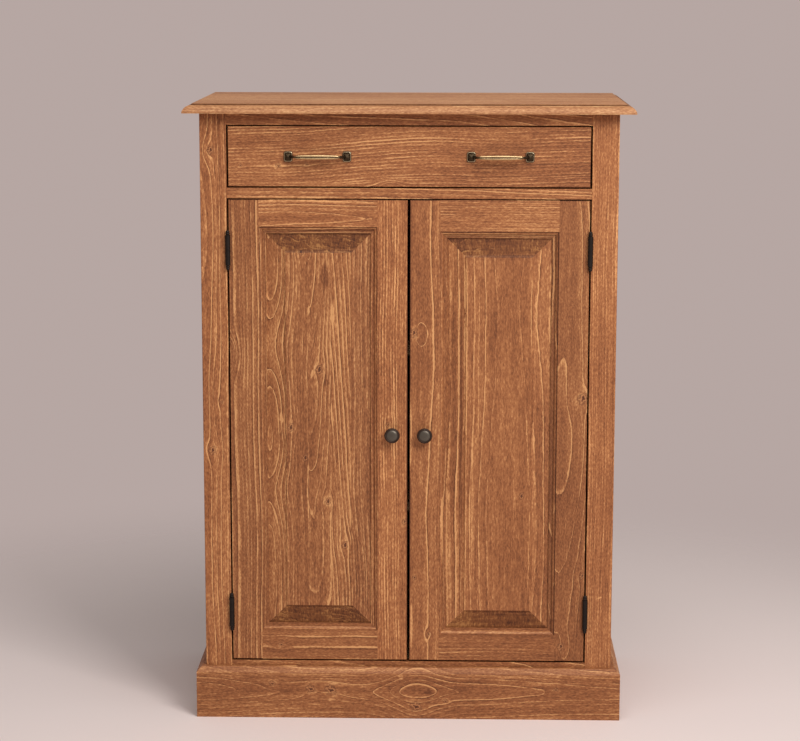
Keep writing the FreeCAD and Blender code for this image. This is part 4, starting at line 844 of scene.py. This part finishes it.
# %% [markdown]
# ## Pulls and rosettes
#
# The drawer has two cast pulls. Each stands on two eight-sided rosettes with a bevelled rim. A foot that ends
# in a low pyramid stands on each rosette, and slim necks lead from the feet to a grooved bar with rounded
# ends. The rosette is a block with cut corners, inset and drawn out. Half a bar is drawn out from a small
# disc along its way, mirrored, grooved and smoothed by subdivision, which is closer to a casting than a bent
# tube.

# %% Rosettes
PULL_X = 0.1745
PULL_Z = 1.10925
PULL_REACH = 0.056
ROSETTE = (0.017, 0.0013, 0.02)
CORNER_CUT = 0.0026
RIM_RISE = 0.0012
RIM_TAPER = (0.86, 1, 0.88)
RIM_WIDTH = 0.0007
DISH_SLOPE = 0.0004
DISH_DEPTH = 0.0007
ROSETTE_ROUNDING = 0.00018

rosette = begin(bpy.ops.mesh.primitive_cube_add, "rosettes", size=1.0, scale=ROSETTE,
                location=(-PULL_X - PULL_REACH, FACE_Y - ROSETTE[1] / 2, PULL_Z))
pick(rosette, "edges", lambda edge: abs(edge.verts[0].co.y - edge.verts[1].co.y) > ROSETTE[1] / 2)
bpy.ops.mesh.bevel(offset=CORNER_CUT, segments=1, affect="EDGES")
pick(rosette, "faces", lambda face: face.normal.y < -0.9)
draw_out((0, -RIM_RISE, 0))
rim = Vector((-PULL_X - PULL_REACH, FACE_Y - ROSETTE[1], PULL_Z))
bpy.ops.transform.resize(value=RIM_TAPER, center_override=rim)
bpy.ops.mesh.inset(thickness=RIM_WIDTH)
bpy.ops.mesh.inset(thickness=DISH_SLOPE, depth=-DISH_DEPTH)
pick(rosette, "edges", lambda edge: edge.is_manifold and edge.calc_face_angle(0) > 0.4)
bpy.ops.mesh.bevel(offset=ROSETTE_ROUNDING, segments=2, affect="EDGES")
close_shape(30)
copies = [another(rosette, f"rosette_{number}", (shift, 0, 0)) for number, shift in
          enumerate((2 * PULL_REACH, 2 * PULL_X, 2 * PULL_X + 2 * PULL_REACH))]
choose(rosette, *copies)
bpy.ops.object.join()
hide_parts("pull_rosettes")
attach(rosette, "drawer")
print("rosettes:", len(rosette.data.polygons), "faces")

# %% Feet of a pull
PLATE_FRONT = FACE_Y - ROSETTE[1] - RIM_RISE
FOOT = (0.011, 0.0065, 0.013)
FOOT_TAPER = (0.94, 1, 0.94)
FOOT_LEDGE = 0.0009
PYRAMID_RISE = 0.0034
PYRAMID_TIP = (0.16, 1, 0.14)
FOOT_ROUNDING = 0.00045

foot = begin(bpy.ops.mesh.primitive_cube_add, "foot", size=1.0, scale=FOOT,
             location=(-PULL_REACH, PLATE_FRONT - FOOT[1] / 2, PULL_Z))
pick(foot, "faces", lambda face: face.normal.y < -0.9)
top = Vector((-PULL_REACH, PLATE_FRONT - FOOT[1], PULL_Z))
bpy.ops.transform.resize(value=FOOT_TAPER, center_override=top)
bpy.ops.mesh.inset(thickness=FOOT_LEDGE)
draw_out((0, -PYRAMID_RISE, 0))
bpy.ops.transform.resize(value=PYRAMID_TIP, center_override=top)
pick(foot, "edges", lambda edge: edge.calc_face_angle(0) > 0.35)
bpy.ops.mesh.bevel(offset=FOOT_ROUNDING, segments=3, affect="EDGES")
close_shape(35)
print("foot:", len(foot.data.polygons), "faces")

# %% Bar of a pull
BAR_OUT = 0.02
BAR_SIDES = 16
BAR_TALLER = 1.25
GROOVE_REACH = 0.036
GROOVE_WIDTH = 0.0006
GROOVE_DEPTH = 0.0018
# along from the pull's middle, out from the drawer, radius and turn
BAR_STATIONS = (
    (-0.0535, 0.0055, 0.0028, 54), (-0.0495, 0.0105, 0.0024, 54), (-0.0463, 0.0147, 0.0021, 56),
    (-0.0439, 0.0172, 0.002, 66), (-0.042, 0.0185, 0.0021, 78), (-0.0408, 0.019, 0.0025, 84),
    (-0.0395, 0.0194, 0.0029, 87), (-0.035, 0.0197, 0.0033, 89), (-0.018, 0.0199, 0.004, 90),
    (0.0, BAR_OUT, 0.0042, 90),
)


def station(along, out):
    """A place on the bar's way, in front of the drawer"""
    return Vector((along, FACE_Y - out, PULL_Z))


along, out, radius, turn = BAR_STATIONS[0]
bar = begin(bpy.ops.mesh.primitive_circle_add, "left_pull", vertices=BAR_SIDES, radius=radius,
            fill_type="NGON", location=station(along, out), rotation=(math.pi / 2, 0, math.radians(turn)))
for next_along, next_out, next_radius, next_turn in BAR_STATIONS[1:]:
    there = station(next_along, next_out)
    draw_out(there - station(along, out))
    bpy.ops.transform.rotate(value=math.radians(turn - next_turn), orient_axis="Z", center_override=there)
    bpy.ops.transform.resize(value=(next_radius / radius,) * 3, center_override=there)
    along, out, radius, turn = next_along, next_out, next_radius, next_turn
pick(bar, "faces", lambda face: all(abs(vert.co.x) < 1e-5 for vert in face.verts))
bpy.ops.mesh.delete(type="FACE")
bpy.ops.object.mode_set(mode="OBJECT")
mirror = bar.modifiers.new("both halves", "MIRROR")
mirror.merge_threshold = 1e-5
bpy.ops.object.modifier_apply(modifier=mirror.name)
bpy.ops.object.mode_set(mode="EDIT")
grooved = pick(bar, "verts", lambda vert: abs(vert.co.x) < GROOVE_REACH and vert.co.y < FACE_Y - BAR_OUT
               and abs(vert.co.z - PULL_Z) < GROOVE_WIDTH)
bpy.ops.transform.translate(value=(0, GROOVE_DEPTH, 0))
bpy.ops.mesh.select_all(action="SELECT")
bpy.ops.transform.resize(value=(1, 1, BAR_TALLER), center_override=station(0, BAR_OUT))
close_shape(60)
smooth = bar.modifiers.new("cast", "SUBSURF")
smooth.levels = smooth.render_levels = 2
bpy.ops.object.modifier_apply(modifier=smooth.name)
print("bar:", len(bar.data.polygons), "faces,", grooved, "points in the groove")

# %% Join and copy the pulls
far_foot = another(foot, "far_foot", (2 * PULL_REACH, 0, 0))
choose(bar, foot, far_foot)
bpy.ops.object.join()
right_pull = another(bar, "right_pull", (PULL_X, 0, 0))
move(bar, (-PULL_X, 0, 0))
for side, pull in (("left", bar), ("right", right_pull)):
    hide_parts(f"pull_{side}")
    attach(pull, "drawer")
    print(pull.name, [round(v, 4) for corner in (pull.bound_box[0], pull.bound_box[6]) for v in corner])

# %% [markdown]
# ## Metal and plastic
#
# The pulls are antique brass: dark brown in the hollows, rubbed to a dull gold where fingers touch. Knobs and
# hinges are darker still, a burnished brown-black with a few rubbed edges. A wear map could be painted by
# hand; here the height of a spot above the drawer or its place on the knob says how much it is rubbed, and
# noise breaks that up. The screws, pins and plates inside are plated steel, and the catches are moulded brown
# plastic.

# %% Metal finishes
RIM_TOP = FACE_Y - 0.0024
# from where to where rubbing grows: out along a bar, off its groove, up to a rim's top, and in on a knob
BAR_RUBBED = (FACE_Y - 0.0175, FACE_Y - 0.0204)
RIDGE_RUBBED = (0.0006, 0.0021)
RIM_RUBBED = (0.0006, 0.0001)
KNOB_RUBBED = (0.012, 0.0091)


def metal(name, parts, base, dark, rub, rough=0.36, metallic=1.0):
    """A worn metal: two tones mixed by a map of how much each spot is rubbed"""
    material, tree, out = fresh(name)
    place = step(tree, "TexCoord").outputs["Object"]
    grime = noise(tree, place, 420.0, 4.0)
    patch = noise(tree, place, 90.0, 2.0)
    rubbed = calc(tree, "MULTIPLY_ADD", calc(tree, "SUBTRACT", grime, 0.5), 0.7, rub(tree, place))
    rubbed = calc(tree, "MULTIPLY_ADD", calc(tree, "SUBTRACT", patch, 0.5), 0.6, rubbed, clamp=True)
    tone = mix(tree, rubbed, (*dark, 1.0), (*base, 1.0))
    dull = calc(tree, "MULTIPLY_ADD", rubbed, -0.16, rough + 0.14)
    relief = step(tree, "Bump", {"Strength": 0.18, "Distance": 0.0002, "Height": grime}).outputs[0]
    shader = step(tree, "BsdfPrincipled", {"Base Color": tone, "Metallic": metallic, "Roughness": dull,
                                           "Normal": relief})
    feed(tree, out.inputs["Surface"], shader.outputs[0])
    dress(material, *parts)


def beside_groove(tree, place):
    """Rubbed on the two ridges of a bar, dark in the groove between them and towards the feet"""
    _, y, z = split(tree, place)
    aside = calc(tree, "ABSOLUTE", calc(tree, "SUBTRACT", z, PULL_Z))
    outward = between(tree, y, *BAR_RUBBED, low=-0.15)
    return calc(tree, "MULTIPLY", between(tree, aside, *RIDGE_RUBBED), outward)


def raised_rim(tree, place):
    """Rubbed on a rosette's ridge, dark on its outer slope and on the flat inside"""
    off = calc(tree, "ABSOLUTE", calc(tree, "SUBTRACT", split(tree, place)["Y"], RIM_TOP))
    return between(tree, off, *RIM_RUBBED, high=1.2)


def knob_face(tree, place):
    """Rubbed on the dome, dark in the groove around it"""
    x, _, z = split(tree, place)
    across = calc(tree, "SUBTRACT", calc(tree, "ABSOLUTE", x), KNOB_X)
    apart = step(tree, "CombineXYZ", {0: across, 1: calc(tree, "SUBTRACT", z, KNOB_Z)}).outputs[0]
    return between(tree, vector(tree, "LENGTH", apart), *KNOB_RUBBED)


def everywhere(amount):
    """Rubbed alike all over"""
    return lambda tree, place: amount


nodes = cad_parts
HINGES = ("frame_hinges", "left_door_hinges", "right_door_hinges")
STEEL_PARTS = ("shelf_pins", "top_screws", "back_screws", "hinge_pins", "pull_screws", "left_door_knob_screw",
               "right_door_knob_screw", "left_door_strike_plate", "right_door_strike_plate")
metal("brass bars", [bar, right_pull], (0.56, 0.39, 0.2), (0.055, 0.038, 0.022), beside_groove)
metal("brass rosettes", [rosette], (0.5, 0.4, 0.25), (0.05, 0.038, 0.022), raised_rim)
metal("dark knobs", [left_knob, right_knob], (0.105, 0.09, 0.07), (0.04, 0.022, 0.015), knob_face,
      rough=0.42, metallic=0.75)
metal("dark hinges", [nodes[name] for name in HINGES], (0.036, 0.027, 0.022), (0.013, 0.009, 0.007),
      everywhere(0.4), rough=0.45, metallic=0.8)
metal("plated steel", [nodes[name] for name in STEEL_PARTS], (0.66, 0.65, 0.62), (0.36, 0.35, 0.33),
      everywhere(0.6), rough=0.3)
print("metal finishes done, among them", len(STEEL_PARTS), "kinds of steel parts")

# %% Catch plastic
CATCH_DARK = (0.17, 0.095, 0.05, 1.0)
CATCH_LIGHT = (0.24, 0.145, 0.085, 1.0)

material, tree, out = fresh("catch plastic")
place = step(tree, "TexCoord").outputs["Object"]
grain = noise(tree, place, 900.0, 3.0)
tone = mix(tree, noise(tree, place, 60.0, 2.0), CATCH_DARK, CATCH_LIGHT)
relief = step(tree, "Bump", {"Strength": 0.25, "Distance": 0.0002, "Height": grain}).outputs[0]
dull = calc(tree, "MULTIPLY_ADD", grain, 0.3, 0.35)
shader = step(tree, "BsdfPrincipled", {"Base Color": tone, "Roughness": dull, "Normal": relief})
feed(tree, out.inputs["Surface"], shader.outputs[0])
dress(material, nodes["magnetic_catches"])
print("catches dressed")
